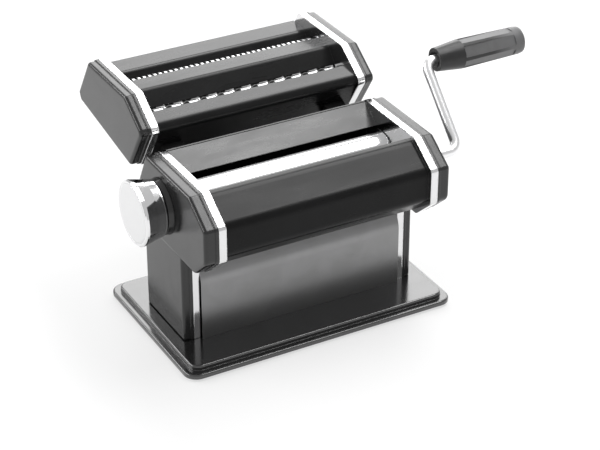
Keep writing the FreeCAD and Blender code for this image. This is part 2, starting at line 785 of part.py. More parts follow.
def round_level(body, z, radius, outer=None):
    """Fillet the edges at one height, or only those that reach past a distance out along X."""
    doc.recompute()
    names = []
    for i, edge in enumerate(body.Tip.Shape.Edges, 1):
        box = edge.BoundBox
        if abs(box.ZMin - number(z)) > 1e-3 or abs(box.ZMax - number(z)) > 1e-3:
            continue
        middle = edge.valueAt((edge.FirstParameter + edge.LastParameter) / 2)
        out_x = abs(middle.x) - number(base_half_length)
        out_y = abs(middle.y) - number(base_half_depth)
        if outer is None or max(out_x, out_y) > number(outer) - number(base_half_length):
            names.append("Edge%d" % i)
    fillet(body, names, radius)


def draw_rounded_box(sketch, half_x, half_y, r):
    """Rectangle with round corners, centred on the sketch's origin."""
    in_x, in_y = half_x - r, half_y - r
    runs = [
        ((half_x, -in_y), (half_x, in_y)),
        ((in_x, half_y), (-in_x, half_y)),
        ((-half_x, in_y), (-half_x, -in_y)),
        ((-in_x, -half_y), (in_x, -half_y)),
    ]
    for i, ends in enumerate(runs):
        sketch.addGeometry(Part.LineSegment(*[Vector(number(u), number(v), 0) for u, v in ends]), False)
        for place, (u, v) in enumerate(ends, 1):
            dimension(sketch, "DistanceX", i, place, u)
            dimension(sketch, "DistanceY", i, place, v)
    for i, (sx, sy) in enumerate(((1, 1), (-1, 1), (-1, -1), (1, -1))):
        middle = Vector(sx * number(in_x), sy * number(in_y), 0)
        circle = Part.Circle(middle, Vector(0, 0, 1), number(r))
        arc = sketch.addGeometry(Part.ArcOfCircle(circle, i * math.pi / 2, (i + 1) * math.pi / 2), False)
        sketch.addConstraint(Sketcher.Constraint("Coincident", i, 2, arc, 1))
        sketch.addConstraint(Sketcher.Constraint("Coincident", arc, 2, (i + 1) % 4, 1))
        dimension(sketch, "Radius", arc, r)


def tie_places():
    """Middle of each tie rod: low and high at the back, and behind the front cover."""
    back = leg_rear_y - rear_cover_inset - panel_sheet - tie_r - tie_gap
    front = head_front_y + front_cover_inset + panel_sheet + tie_r + tie_gap
    return [
        (back, base_top + tie_low_rise),
        (back, slope_foot_z - tie_high_drop),
        (front, (head_brow_z + head_chin_z) / 2),
    ]


def unit_tie_places():
    """Middle of each tie rod in the cutter unit: rear, and between the two cutter pairs."""
    between = (wide_rear_y + narrow_front_y) / 2
    return [(unit_tie_y, unit_tie_z), (between, unit_tail_z + unit_tie_rise)]


def side_plate(name, side):
    """Pressed plate with its flange turned outwards all round, from the head to the base."""
    body = new_body(name)
    x0, x1 = span(side, web_in, flange_out)
    slab(body, name + "Outline", PLATE, x0, x1)
    corners = [PLATE[i] for i in (1, 2, 3, 4, 5)]
    round_along_x(body, corners, plate_corner_r)
    deep = span(side, web_out, flange_out)
    hollow(body, name + "Tray", PLATE, *deep, plate_sheet)
    web = span(side, web_in, web_out)
    holes = [(front_roller_y, roller_z, bush_r)]
    holes += [(y, z, tie_screw_r + screw_clear) for y, z in tie_places()]
    drill(body, name + "Holes", holes, *web)
    window = new_sketch(body, name + "Window", at=web[1])
    draw_box(
        window,
        rear_roller_y - bracket_front - free_clear,
        rear_roller_y + bracket_rear() + eccentric * 2 + free_clear,
        roller_z - bracket_half_height - free_clear,
        roller_z + bracket_half_height + free_clear,
    )
    pocket(body, window, plate_sheet)
    feet = new_sketch(body, name + "FootHoles", "XY_Plane", base_top + plate_sheet)
    for x, y in base_screw_places():
        if number(x) * side > 0:
            draw_circle(feet, x, y, base_screw_r + screw_clear)
    pocket(body, feet, plate_sheet)


def bracket_rear():
    """How far the bearing bracket's back reaches behind the rear roller's axis."""
    return roller_spacing / 2 + gear_addendum + gear_gap * 2 + bracket_back


def end_cover(name, side):
    """Hollow moulding over one side plate: deep over the head, shallower down the leg."""
    body = new_body(name)
    rim_face = flange_out + cover_rim_depth
    slab(body, name + "Rim", PLATE, *span(side, flange_out, rim_face), inset=cover_rim_inset)
    slab(body, name + "Leg", PLATE, *span(side, rim_face, leg_face), inset=cover_inset)
    slab(body, name + "Head", HEAD_ONLY, *span(side, leg_face, cover_face), inset=cover_inset)
    round_corners(body, PLATE, (1, 2, 3), cover_corner_r)
    round_corners(body, PLATE, (4, 5), cover_chin_r)
    round_rim(body, cover_face * side, cover_edge_r)

    def upright(edge):
        box = edge.BoundBox
        long = box.ZLength > number(head_bottom - base_top) / 2
        return long and box.YLength < 1e-3 and box.ZMax < number(head_bottom + cover_edge_r)

    round_rim(body, leg_face * side, leg_edge_r, upright)
    deep = cover_inset + cover_wall
    hollow(body, name + "LegHollow", PLATE, *span(side, flange_out, leg_face - cover_wall), deep)
    hollow(body, name + "HeadHollow", HEAD_ONLY, *span(side, flange_out, cover_in), deep)
    outside = span(side, cover_in, cover_face)
    if side > 0:
        drill(body, name + "ShaftHole", [(front_roller_y, roller_z, shaft_r + free_clear)], *outside)
        seat = cover_in + cover_wall / 2
        drill(body, name + "BushSeat", [(adjuster_y, roller_z, adjuster_bush_r)], cover_in, seat)
    else:
        drill(body, name + "BushHole", [(adjuster_y, roller_z, adjuster_bush_r)], *outside)


def round_corners(body, outline, picks, radius):
    """Fillet some corners of a cover's outline, on its rim and on its narrower part alike."""
    for inset in (cover_rim_inset, cover_inset):
        corners = shifted(outline, number(inset), closed=True)
        round_along_x(body, [(corners[i].x, corners[i].y) for i in picks], radius)


def panels():
    """Sheet metal between the side plates: covers, hopper, chute and roller scrapers."""
    brow = [(front_cover_rear_y, head_top), *HEAD[2:6]]
    bent_sheet("front_cover", brow, panel_sheet, front_cover_inset, brow_bend_r)
    back = [(leg_rear_y, base_top), *HEAD[:2]]
    bent_sheet("rear_cover", back, panel_sheet, rear_cover_inset, panel_bend_r)
    hopper = [(hopper_rear_y, hopper_rear_z), (hopper_front_y, hopper_front_z)]
    bent_sheet("hopper_plate", hopper, panel_sheet)
    chute = [
        (chute_top_y, chute_top_z),
        (chute_front_y, chute_knee_z),
        (chute_front_y, base_top),
    ]
    bent_sheet("dough_chute", chute, panel_sheet, 0.0, chute_bend_r)
    half = roller_r + free_clear
    lean = half * math.sqrt(0.5)
    reach = scraper_reach * math.sqrt(0.5)
    front = [
        (front_roller_y - lean - reach, roller_z - lean - reach),
        (front_roller_y - lean, roller_z - lean),
    ]
    bent_sheet("front_scraper", front, scraper_sheet)
    open_y = rear_roller_y + eccentric * 2
    rear = [
        (open_y + lean, roller_z - lean),
        (open_y + lean + reach, roller_z - lean - reach),
    ]
    bent_sheet("rear_scraper", rear, scraper_sheet)


def tie_set(label, screw_label, places):
    """Round spacer bars between two side plates, each held by a screw at either end."""
    bars, screws = [], []
    for i, (y, z) in enumerate(places):
        bar = rod("%sBar%d" % (label, i), -web_in, web_in, y, z, tie_r)
        for side in (-1, 1):
            tag = "%s%d%s" % (label, i, "L" if side < 0 else "R")
            bore_r = tie_screw_r + screw_clear
            deep = span(side, web_in - tie_screw_depth - tie_screw_room, web_in)
            bore = rod(tag + "Bore", *deep, y, z, bore_r)
            bar = less(tag + "Bored", bar, bore)
            shank = rod(tag + "Shank", *span(side, web_in - tie_screw_depth, web_out), y, z, tie_screw_r)
            head = rod(tag + "Head", *span(side, web_out, web_out + tie_head), y, z, tie_head_r)
            screws.append(joined(tag + "Screw", shank, head))
        bars.append(bar)
    group(label, bars)
    group(screw_label, screws)


def bushes(label, places, bore_r, outer_r):
    """Flanged bushes pressed into both side plates, with the lip on the outside."""
    pieces = []
    for i, (y, z) in enumerate(places):
        for side in (-1, 1):
            tag = "%s%d%s" % (label, i, "L" if side < 0 else "R")
            sleeve = rod(tag + "Sleeve", *span(side, web_in, web_out), y, z, outer_r)
            lip = rod(tag + "Lip", *span(side, web_out, web_out + bush_lip_depth), y, z, outer_r + bush_lip)
            solid = joined(tag + "Solid", sleeve, lip)
            bore = rod(tag + "Bore", *span(side, web_in, web_out + bush_lip_depth), y, z, bore_r)
            pieces.append(less(tag, solid, bore))
    group(label, pieces)


def front_roller_set():
    """Driven smooth roller: tube, through shaft with the crank socket, and its gear."""
    half = roller_face / 2
    tube = new_body("front_roller", front_roller_y, roller_z)
    plug = half - roller_end_wall
    turn_round(tube, "FrontTube", [
        (-half, shaft_r), (-plug, shaft_r), (-plug, roller_r - roller_wall), (plug, roller_r - roller_wall),
        (plug, shaft_r), (half, shaft_r), (half, roller_r), (-half, roller_r)])
    shaft = new_body("front_roller_shaft", front_roller_y, roller_z, -crank_tilt)
    left = -journal_end
    mouth = cover_face + shaft_stand_out
    slab_round(shaft, "FrontShaft", shaft_r, left, mouth)
    drive_socket(shaft, mouth)
    make_gear("front_gear", front_roller_y, roller_z, gear_in, gear_out, roller_spacing / 2,
              gear_addendum, gear_dedendum, shaft_r, 0.0)


def slab_round(body, name, r, x0, x1):
    """Solid round bar about the body's own X axis."""
    sketch = new_sketch(body, name, at=x0)
    draw_circle(sketch, 0.0, 0.0, r)
    return pad(body, sketch, as_size(x1) - x0)


def drive_socket(body, mouth):
    """Bore for the crank, with a slot across its mouth for the crank's cross pin."""
    bore_r = crank_rod_r + crank_clear
    drill(body, body.Label + "Socket", [(0.0, 0.0, bore_r)], mouth - crank_depth - crank_room, mouth)
    sketch = new_sketch(body, body.Label + "Slot", at=mouth)
    wide = crank_pin_r + crank_slot_clear
    far = shaft_r * 2
    draw_box(sketch, -wide, wide, -far, far)
    pocket(body, sketch, crank_pin_setback + crank_pin_r + free_clear)


def make_gear(label, y, z, x0, x1, pitch_r, addendum, dedendum, bore_r, turn):
    """Spur gear with straight-sided teeth on a plain rim."""
    body = new_body(label, y, z, turn)
    rim = new_sketch(body, label + "Rim", at=x0)
    root_r, tip_r = pitch_r - dedendum, pitch_r + addendum
    draw_circle(rim, 0.0, 0.0, root_r)
    draw_circle(rim, 0.0, 0.0, bore_r)
    pad(body, rim, as_size(x1) - x0)
    tooth = new_sketch(body, label + "Tooth", at=x0)
    pitch = pitch_r * 2 * math.pi / gear_teeth
    root_half, tip_half = pitch * tooth_root_share, pitch * tooth_tip_share
    sunk = root_r - dedendum * 0.2
    draw_loop(tooth, [(sunk, -root_half), (root_r, -root_half), (tip_r, -tip_half), (tip_r, tip_half),
                      (root_r, root_half), (sunk, root_half)])
    one = pad(body, tooth, as_size(x1) - x0)
    ring_of(body, one, gear_teeth, 360.0)
    return body


def ring_of(body, feature, count, arc):
    """Repeat a feature about the body's own X axis."""
    pattern = body.newObject("PartDesign::PolarPattern", feature.Name + "Ring")
    pattern.Originals = [feature]
    pattern.Axis = (origin_part(body, "X_Axis"), [""])
    bind(pattern, "Angle", arc)
    bind(pattern, "Occurrences", count)
    body.Tip = pattern
    return pattern


def row_of(body, feature, length, count):
    """Repeat a feature along X."""
    pattern = body.newObject("PartDesign::LinearPattern", feature.Name + "Row")
    pattern.Originals = [feature]
    pattern.Direction = (origin_part(body, "X_Axis"), [""])
    bind(pattern, "Length", length)
    bind(pattern, "Occurrences", count)
    body.Tip = pattern
    return pattern


def rear_roller_set():
    """Adjustable smooth roller: hollow, with necks that run in the sliding brackets."""
    half = roller_face / 2
    body = new_body("rear_roller", rear_roller_y, roller_z)
    plug = half - roller_end_wall
    left, right = -(web_in + bracket_plate + gear_gap), gear_out
    turn_round(body, "RearTube", [
        (left, neck_bore_r), (-plug, neck_bore_r), (-plug, roller_r - roller_wall),
        (plug, roller_r - roller_wall), (plug, neck_bore_r), (right, neck_bore_r), (right, neck_r),
        (half, neck_r), (half, roller_r), (-half, roller_r), (-half, neck_r), (left, neck_r)])
    make_gear("rear_gear", rear_roller_y, roller_z, gear_in, gear_out, roller_spacing / 2,
              gear_addendum, gear_dedendum, neck_r, 180.0 / gear_teeth)


def bearing_bracket(name, side):
    """Sliding bracket: a bearing plate in the window, a back, and a slotted yoke outside."""
    body = new_body(name, rear_roller_y, roller_z)
    back, wall = bracket_rear(), bracket_back
    plan = new_sketch(body, name + "Plan", "XY_Plane", -bracket_half_height)
    s = float(side)
    inner, step = web_in + roller_end_gap / 2, web_in + bracket_plate
    draw_loop(plan, [
        (inner * s, -bracket_front), (step * s, -bracket_front), (step * s, back - wall),
        (yoke_in * s, back - wall), (yoke_in * s, -yoke_front), (yoke_out * s, -yoke_front),
        (yoke_out * s, back), (inner * s, back)])
    pad(body, plan, bracket_half_height * 2)
    drill(body, name + "Bore", [(0.0, 0.0, neck_r + running_clear)], *span(side, inner, step))
    slot = new_sketch(body, name + "Yoke", at=span(side, yoke_in, yoke_out)[1])
    half_wide = eccentric_r + free_clear
    half_tall = eccentric_r + eccentric + free_clear
    draw_box(slot, -half_wide, half_wide, -half_tall, half_tall)
    pocket(body, slot, yoke_plate)


def adjuster_set():
    """Eccentric shaft through the hollow rear roller, its bushes, index ring and sprung knob."""
    tail = cover_in + cover_wall / 2
    knob_foot = cover_face + index_ring_depth + gear_gap
    shaft_end = knob_foot + knob_web + knob_spring_length
    body = new_body("adjuster_shaft", adjuster_y, roller_z)
    slab_round(body, "AdjusterRod", adjuster_r, -shaft_end, tail - free_clear)
    for side, tag in ((-1, "Left"), (1, "Right")):
        disc = new_sketch(body, "Eccentric" + tag, at=span(side, yoke_in, yoke_out)[0])
        draw_circle(disc, -eccentric, 0.0, eccentric_r)
        pad(body, disc, yoke_plate)
    flat = new_sketch(body, "AdjusterFlat", at=-knob_foot)
    draw_box(flat, -adjuster_r * 2, adjuster_r * 2, knob_flat, adjuster_r * 2)
    pocket(body, flat, shaft_end - knob_foot)
    tap = [(0.0, 0.0, tie_screw_r + screw_clear)]
    drill(body, "AdjusterTap", tap, -shaft_end, tie_screw_depth - shaft_end)

    screw_head = shaft_end + knob_washer
    tip = tie_screw_depth - tie_screw_room - shaft_end
    shank = rod("KnobShank", -shaft_end, tip, adjuster_y, roller_z, tie_screw_r)
    washer = rod("KnobWasher", -screw_head, -shaft_end, adjuster_y, roller_z, knob_washer_r)
    cap = rod("KnobScrewHead", -(screw_head + tie_head * 0.5), -screw_head, adjuster_y, roller_z, tie_head_r)
    screw = joined("KnobScrewPieces", joined("KnobScrewBody", shank, washer), cap)
    group("knob_screw", [screw])

    inner = yoke_out + free_clear
    left = less("LeftAdjusterBush",
                rod("LeftBushBar", -cover_face, -inner, adjuster_y, roller_z, adjuster_bush_r),
                rod("LeftBushBore", -cover_face, -inner, adjuster_y, roller_z, adjuster_r + running_clear))
    right = less("RightAdjusterBush",
                 rod("RightBushBar", inner, tail, adjuster_y, roller_z, adjuster_bush_r),
                 rod("RightBushBore", inner, tail, adjuster_y, roller_z, adjuster_r + running_clear))
    group("adjuster_bushes", [left, right])

    ring = new_body("index_ring", adjuster_y, roller_z)
    outer = -(cover_face + index_ring_depth)
    turn_round(ring, "IndexRing", [
        (-cover_face, adjuster_r + free_clear), (-cover_face, index_ring_r),
        (outer, index_ring_r - knob_edge), (outer, adjuster_r + free_clear)])
    track = index_pin_r + free_clear
    bed = outer + index_track_depth
    turn_round(ring, "IndexTrack", [
        (outer, index_track_r - track), (outer, index_track_r + track), (bed, index_track_r + track),
        (bed, index_track_r - track)], cut=True)
    doc.recompute()
    dimple = new_sketch(ring, "IndexDimple", at=bed + index_pin_r * 0.6)
    draw_circle(dimple, 0.0, index_track_r, index_pin_r)
    one = pocket(ring, dimple, index_pin_r * 0.6)
    ring_of(ring, one, setting_count, setting_arc)

    knob = new_body("adjuster_knob", adjuster_y, roller_z)
    foot, face = -knob_foot, -(knob_foot + knob_length)
    floor = face + knob_face_depth
    face_r = knob_r - knob_edge - knob_rim
    turn_round(knob, "KnobBody", [
        (foot, 0.0), (foot, knob_foot_r), (foot - knob_edge, knob_bead_r), (foot - knob_bead, knob_bead_r),
        (foot - knob_bead - knob_waist, knob_waist_r), (face + knob_edge + knob_rim, knob_r),
        (face + knob_edge, knob_r), (face, knob_r - knob_edge), (face, face_r), (floor, face_r),
        (floor, knob_cavity_r),
        (foot - knob_web, knob_cavity_r), (foot - knob_web, 0.0)])
    doc.recompute()
    bore = new_sketch(knob, "KnobBore", at=foot)
    draw_flatted(bore, adjuster_r + running_clear, knob_flat + running_clear)
    pocket(knob, bore, knob_web)

    disc = new_body("knob_face", adjuster_y, roller_z)
    turn_round(disc, "KnobFace", [
        (floor, 0.0), (floor, face_r), (face, face_r), (face - knob_face_crown, face_r - knob_face_crown * 3),
        (face - knob_face_crown, 0.0)])

    pin_tip = foot + gear_gap + index_pin_reach
    pin = rod("IndexPinBar", foot, pin_tip, adjuster_y, roller_z + index_track_r, index_pin_r)
    group("index_pin", [pin])
    seat = foot - knob_web
    spring = less("KnobSpringSleeve",
                  rod("SpringOuter", -shaft_end, seat, adjuster_y, roller_z, knob_spring_r),
                  rod("SpringInner", -shaft_end, seat, adjuster_y, roller_z,
                      knob_spring_r - knob_spring_wire))
    group("knob_spring", [spring])


def draw_flatted(sketch, r, flat):
    """Circle about the origin with a flat across its top, as a closed arc and chord."""
    half = math.sqrt(number(r) ** 2 - number(flat) ** 2)
    start = math.atan2(number(flat), -half)
    end = math.atan2(number(flat), half) + 2 * math.pi
    circle = Part.Circle(Vector(0, 0, 0), Vector(0, 0, 1), number(r))
    arc = sketch.addGeometry(Part.ArcOfCircle(circle, start, end), False)
    a, b = sketch.Geometry[arc].StartPoint, sketch.Geometry[arc].EndPoint
    line = sketch.addGeometry(Part.LineSegment(b, a), False)
    sketch.addConstraint(Sketcher.Constraint("Coincident", arc, 2, line, 1))
    sketch.addConstraint(Sketcher.Constraint("Coincident", line, 2, arc, 1))
    sketch.addConstraint(Sketcher.Constraint("Coincident", arc, 3, -1, 1))
    sketch.addConstraint(Sketcher.Constraint("Horizontal", line))
    dimension(sketch, "Radius", arc, r)
    dimension(sketch, "DistanceY", line, 1, flat)


def crank_set():
    """Bent crank rod with its cross pin, and a fluted grip that turns on the rod's far end."""
    mouth = cover_face + shaft_stand_out
    start = mouth - crank_depth
    grip_start = crank_arm_x + crank_bend_r + gear_gap
    grip_end = grip_start + grip_length
    rod_end = grip_end - grip_cap_depth * 1.5
    body = new_body("crank_rod", front_roller_y, roller_z, -crank_tilt)
    spine = new_sketch(body, "CrankSpine", "XZ_Plane")
    r, arm, ax = crank_bend_r, crank_arm_length, crank_arm_x
    stops = [(start, 0.0), (ax - r, 0.0), (ax, r), (ax, arm - r), (ax + r, arm), (rod_end, arm)]
    spots = [Vector(number(u), number(v), 0) for u, v in stops]
    for a, b in ((0, 1), (2, 3), (4, 5)):
        line = sketch_line(spine, spots[a], spots[b])
        for end, k in ((1, a), (2, b)):
            dimension(spine, "DistanceX", line, end, stops[k][0])
            dimension(spine, "DistanceY", line, end, stops[k][1])
    low = Part.Circle(Vector(number(ax - r), number(r), 0), Vector(0, 0, 1), number(r))
    high = Part.Circle(Vector(number(ax + r), number(arm - r), 0), Vector(0, 0, 1), number(r))
    bend_a = spine.addGeometry(Part.ArcOfCircle(low, -math.pi / 2, 0.0), False)
    bend_b = spine.addGeometry(Part.ArcOfCircle(high, math.pi / 2, math.pi), False)
    for arc, line_in, line_out, first, last in ((bend_a, 0, 1, 1, 2), (bend_b, 1, 2, 2, 1)):
        spine.addConstraint(Sketcher.Constraint("Coincident", line_in, 2, arc, first))
        spine.addConstraint(Sketcher.Constraint("Coincident", arc, last, line_out, 1))
        dimension(spine, "Radius", arc, r)
    section = new_sketch(body, "CrankSection", at=start)
    draw_circle(section, 0.0, 0.0, crank_rod_r)
    pipe = body.newObject("PartDesign::AdditivePipe", "CrankPipe")
    pipe.Profile = section
    pipe.Spine = (spine, ["Edge%d" % i for i in (1, 4, 2, 5, 3)])
    doc.recompute()
    pin_x = mouth - crank_pin_setback
    hole = new_sketch(body, "CrankPinHole", "XY_Plane", crank_rod_r * 2)
    draw_circle(hole, pin_x, 0.0, crank_pin_r)
    pocket(body, hole, crank_rod_r * 4)

    pin = doc.addObject("Part::Cylinder", "CrankPinBar")
    tilt = FreeCAD.Rotation(Vector(1, 0, 0), -number(crank_tilt))
    half = shaft_r - free_clear
    lean_y = Size(math.sin(math.radians(number(crank_tilt))), "sin(%s * 1 deg)" % crank_tilt.text)
    lean_z = Size(math.cos(math.radians(number(crank_tilt))), "cos(%s * 1 deg)" % crank_tilt.text)
    pin.Placement = FreeCAD.Placement(Vector(), tilt)
    bind(pin, "Placement.Rotation.Angle", -crank_tilt)
    bind(pin, "Radius", crank_pin_r)
    bind(pin, "Height", half * 2)
    bind(pin, "Placement.Base.x", pin_x)
    bind(pin, "Placement.Base.y", front_roller_y - half * lean_y)
    bind(pin, "Placement.Base.z", roller_z - half * lean_z)
    group("crank_cross_pin", [pin])

    grip_y, grip_z = front_roller_y + arm * lean_y, roller_z + arm * lean_z
    bore_r = crank_rod_r + crank_clear
    seat = grip_end - grip_cap_depth * 2.5
    cap_in = grip_end - grip_cap_depth
    grip = new_body("crank_grip", grip_y, grip_z)
    clip_room = grip_clip_r + free_clear
    cap_r = grip_r - grip_end_r * 0.2
    turn_round(grip, "GripBody", [
        (grip_start, grip_neck_r - grip_mouth_wall), (grip_start + grip_mouth_depth, bore_r),
        (seat, bore_r), (seat, clip_room), (cap_in, clip_room), (cap_in, cap_r),
        (grip_start + grip_taper, grip_r), (grip_start, grip_neck_r)])
    doc.recompute()
    flute = new_sketch(grip, "GripFlute", at=cap_in - grip_flute_gap)
    half_wide = grip_flute_width / 2
    draw_box(flute, -half_wide, half_wide, grip_r - grip_flute_depth, grip_r + grip_flute_depth)
    one = pocket(grip, flute, cap_in - grip_flute_gap - grip_start - grip_taper)
    ring_of(grip, one, grip_flutes, 360.0)

    cap = new_body("grip_end_cap", grip_y, grip_z)
    turn_round(cap, "GripCap", [
        (cap_in, 0.0), (cap_in, cap_r), (grip_end - grip_end_r * 0.45, grip_r - grip_end_r * 0.35),
        (grip_end - grip_end_r * 0.12, grip_r - grip_end_r * 0.8), (grip_end, grip_r - grip_end_r * 1.6),
        (grip_end, 0.0)])

    clip_out = rod_end - grip_clip_setback
    clip_in = clip_out - grip_clip_width
    clip = less("GripClipRing",
                rod("GripClipBar", clip_in, clip_out, grip_y, grip_z, grip_clip_r),
                rod("GripClipBore", clip_in, clip_out, grip_y, grip_z, crank_rod_r))
    group("grip_clip", [clip])


def sketch_line(sketch, a, b):
    return sketch.addGeometry(Part.LineSegment(a, b), False)


def unit_plate(name, side, axes):
    """Pressed side plate of the cutter unit, flanged outwards like the main ones."""
    body = new_body(name)
    slab(body, name + "Outline", UNIT, *span(side, web_in, flange_out))
    round_along_x(body, [UNIT[0], UNIT[1]], plate_corner_r)
    round_along_x(body, [UNIT[2]], unit_nose_r)
    hollow(body, name + "Tray", UNIT, *span(side, web_out, flange_out), plate_sheet)
    holes = [(y, z, cutter_bush_r) for y, z in axes]
    holes += [(y, z, tie_screw_r + screw_clear) for y, z in unit_tie_places()]
    drill(body, name + "Holes", holes, *span(side, web_in, web_out))


def unit_cover(name, side, driven):
    """Hollow end moulding of the cutter unit; the right one lets the crank sockets through."""
    body = new_body(name)
    rim_face = flange_out + cover_rim_depth
    slab(body, name + "Rim", UNIT, *span(side, flange_out, rim_face), inset=cover_rim_inset)
    slab(body, name + "Outline", UNIT, *span(side, rim_face, unit_face), inset=cover_inset)
    round_corners(body, UNIT, (2,), unit_nose_r)
    round_corners(body, UNIT, (0, 1, 3, 4, 5), cover_corner_r)
    round_rim(body, unit_face * side, cover_edge_r)
    deep = cover_inset + unit_cover_wall
    hollow(body, name + "Hollow", UNIT, *span(side, flange_out, unit_face - unit_cover_wall), deep)
    if side > 0:
        holes = [(y, z, cutter_shaft_r + free_clear) for y, z in driven]
        drill(body, name + "SocketHoles", holes, unit_face - unit_cover_wall, unit_face)


def cutting_roller(name, y, z, pitch, rings, gear_side, mouth=None):
    """Ringed cutting roller with plain journals; the driven one ends in a crank socket."""
    body = new_body(name, y, z)
    half = roller_face / 2
    core = cutter_r - cutter_groove
    geared = gear_out_unit + gear_gap
    left = -(geared if gear_side < 0 else journal_end)
    right = geared if gear_side > 0 else journal_end
    if mouth is not None:
        right = mouth
    turn_round(body, name + "Core", [
        (left, 0.0), (left, cutter_shaft_r), (-half, cutter_shaft_r), (-half, core), (half, core),
        (half, cutter_shaft_r), (right, cutter_shaft_r), (right, 0.0)])
    reach = pitch * (rings - 1)
    ring_half = (pitch / 2 - cutter_side_clear) / 2
    first = -reach / 2
    one = turn_round(body, name + "Ring", [
        (first - ring_half, core - cutter_groove), (first + ring_half, core - cutter_groove),
        (first + ring_half, cutter_r), (first - ring_half, cutter_r)])
    row_of(body, one, reach, rings)
    if mouth is not None:
        doc.recompute()
        drive_socket(body, mouth)


def comb(name, y, z, setback, pitch, rings):
    """Strip below a cutting roller with one finger in each groove, to lift the pasta out."""
    body = new_body(name, y, z, alone=False)
    core = cutter_r - cutter_groove
    tip_r = core + free_clear
    top = -root(tip_r * tip_r - comb_setback * comb_setback) - free_clear
    shoulder = -(cutter_r + free_clear * 2)
    bar = new_sketch(body, name + "Bar", at=-web_in)
    y0, y1 = setback - comb_sheet / 2, setback + comb_sheet / 2
    draw_box(bar, y0, y1, shoulder - comb_height, shoulder)
    pad(body, bar, web_in * 2)
    finger_half = (pitch / 2 + cutter_side_clear) / 2 - comb_side_clear
    count = rings - 1
    reach = pitch * (count - 1)
    finger = new_sketch(body, name + "Finger", at=-reach / 2 - finger_half)
    draw_box(finger, y0, y1, shoulder - comb_sheet, top)
    one = pad(body, finger, finger_half * 2)
    row_of(body, one, reach, count)
    return body


def cutter_unit():
    """Everything that lifts off with the cutter unit."""
    axes = [(wide_front_y, wide_z), (wide_rear_y, wide_z),
            (narrow_front_y, narrow_front_z), (narrow_rear_y, narrow_rear_z)]
    driven = [axes[0], axes[2]]
    unit_plate("cutter_plate_left", -1, axes)
    unit_plate("cutter_plate_right", 1, axes)
    unit_cover("cutter_cover_left", -1, driven)
    unit_cover("cutter_cover_right", 1, driven)
    cowl = [(unit_cowl_rear_y, unit_cowl_rear_z), (unit_cowl_nose_y, unit_cowl_nose_z),
            (unit_cowl_foot_y, unit_cowl_foot_z)]
    bent_sheet("cutter_front_cover", cowl, panel_sheet, 0.0, unit_cowl_bend_r)
    roof = [(unit_roof_rear_y, unit_roof_z), (unit_roof_front_y, unit_roof_front_z),
            (unit_lip_y, unit_lip_z)]
    bent_sheet("cutter_middle_plate", roof, panel_sheet, 0.0, panel_bend_r)
    shelf = [(unit_shelf_rear_y, unit_shelf_rear_z), (unit_shelf_front_y, unit_shelf_front_z),
             (unit_guide_y, unit_guide_z)]
    bent_sheet("cutter_rear_plate", shelf, panel_sheet, 0.0, panel_bend_r)
    tie_set("cutter_tie_rods", "cutter_tie_screws", unit_tie_places())
    bushes("cutter_bushes", axes, cutter_shaft_r + running_clear, cutter_bush_r)

    mouth = unit_face + shaft_stand_out
    cutting_roller("wide_cutter_front", *axes[0], wide_pitch, wide_rings, -1, mouth)
    cutting_roller("wide_cutter_rear", *axes[1], wide_pitch, wide_rings + 1, -1)
    cutting_roller("narrow_cutter_front", *axes[2], narrow_pitch, narrow_rings, 1, mouth)
    cutting_roller("narrow_cutter_rear", *axes[3], narrow_pitch, narrow_rings - 1, 1)
    lean = Size(math.degrees(math.atan2(number(narrow_drop), number(narrow_run))),
                "(atan2(%s; %s) / 1 deg)" % (narrow_drop.text, narrow_run.text))
    half_tooth = 180.0 / gear_teeth
    pitch_r = cutter_spacing / 2
    for name, side, (y, z), turn in (
        ("wide_gear_front", -1, axes[0], 0.0),
        ("wide_gear_rear", -1, axes[1], half_tooth),
        ("narrow_gear_front", 1, axes[2], -lean),
        ("narrow_gear_rear", 1, axes[3], half_tooth - lean),
    ):
        x0, x1 = span(side, gear_in_unit, gear_out_unit)
        make_gear(name, y, z, x0, x1, pitch_r, cutter_addendum, cutter_dedendum, cutter_shaft_r, turn)
    group("wide_combs", [
        comb("WideCombFront", *axes[0], -comb_setback, wide_pitch, wide_rings),
        comb("WideCombRear", *axes[1], comb_setback, wide_pitch, wide_rings + 1)])
    group("narrow_combs", [
        comb("NarrowCombFront", *axes[2], -comb_setback, narrow_pitch, narrow_rings),
        comb("NarrowCombRear", *axes[3], comb_setback, narrow_pitch, narrow_rings - 1)])


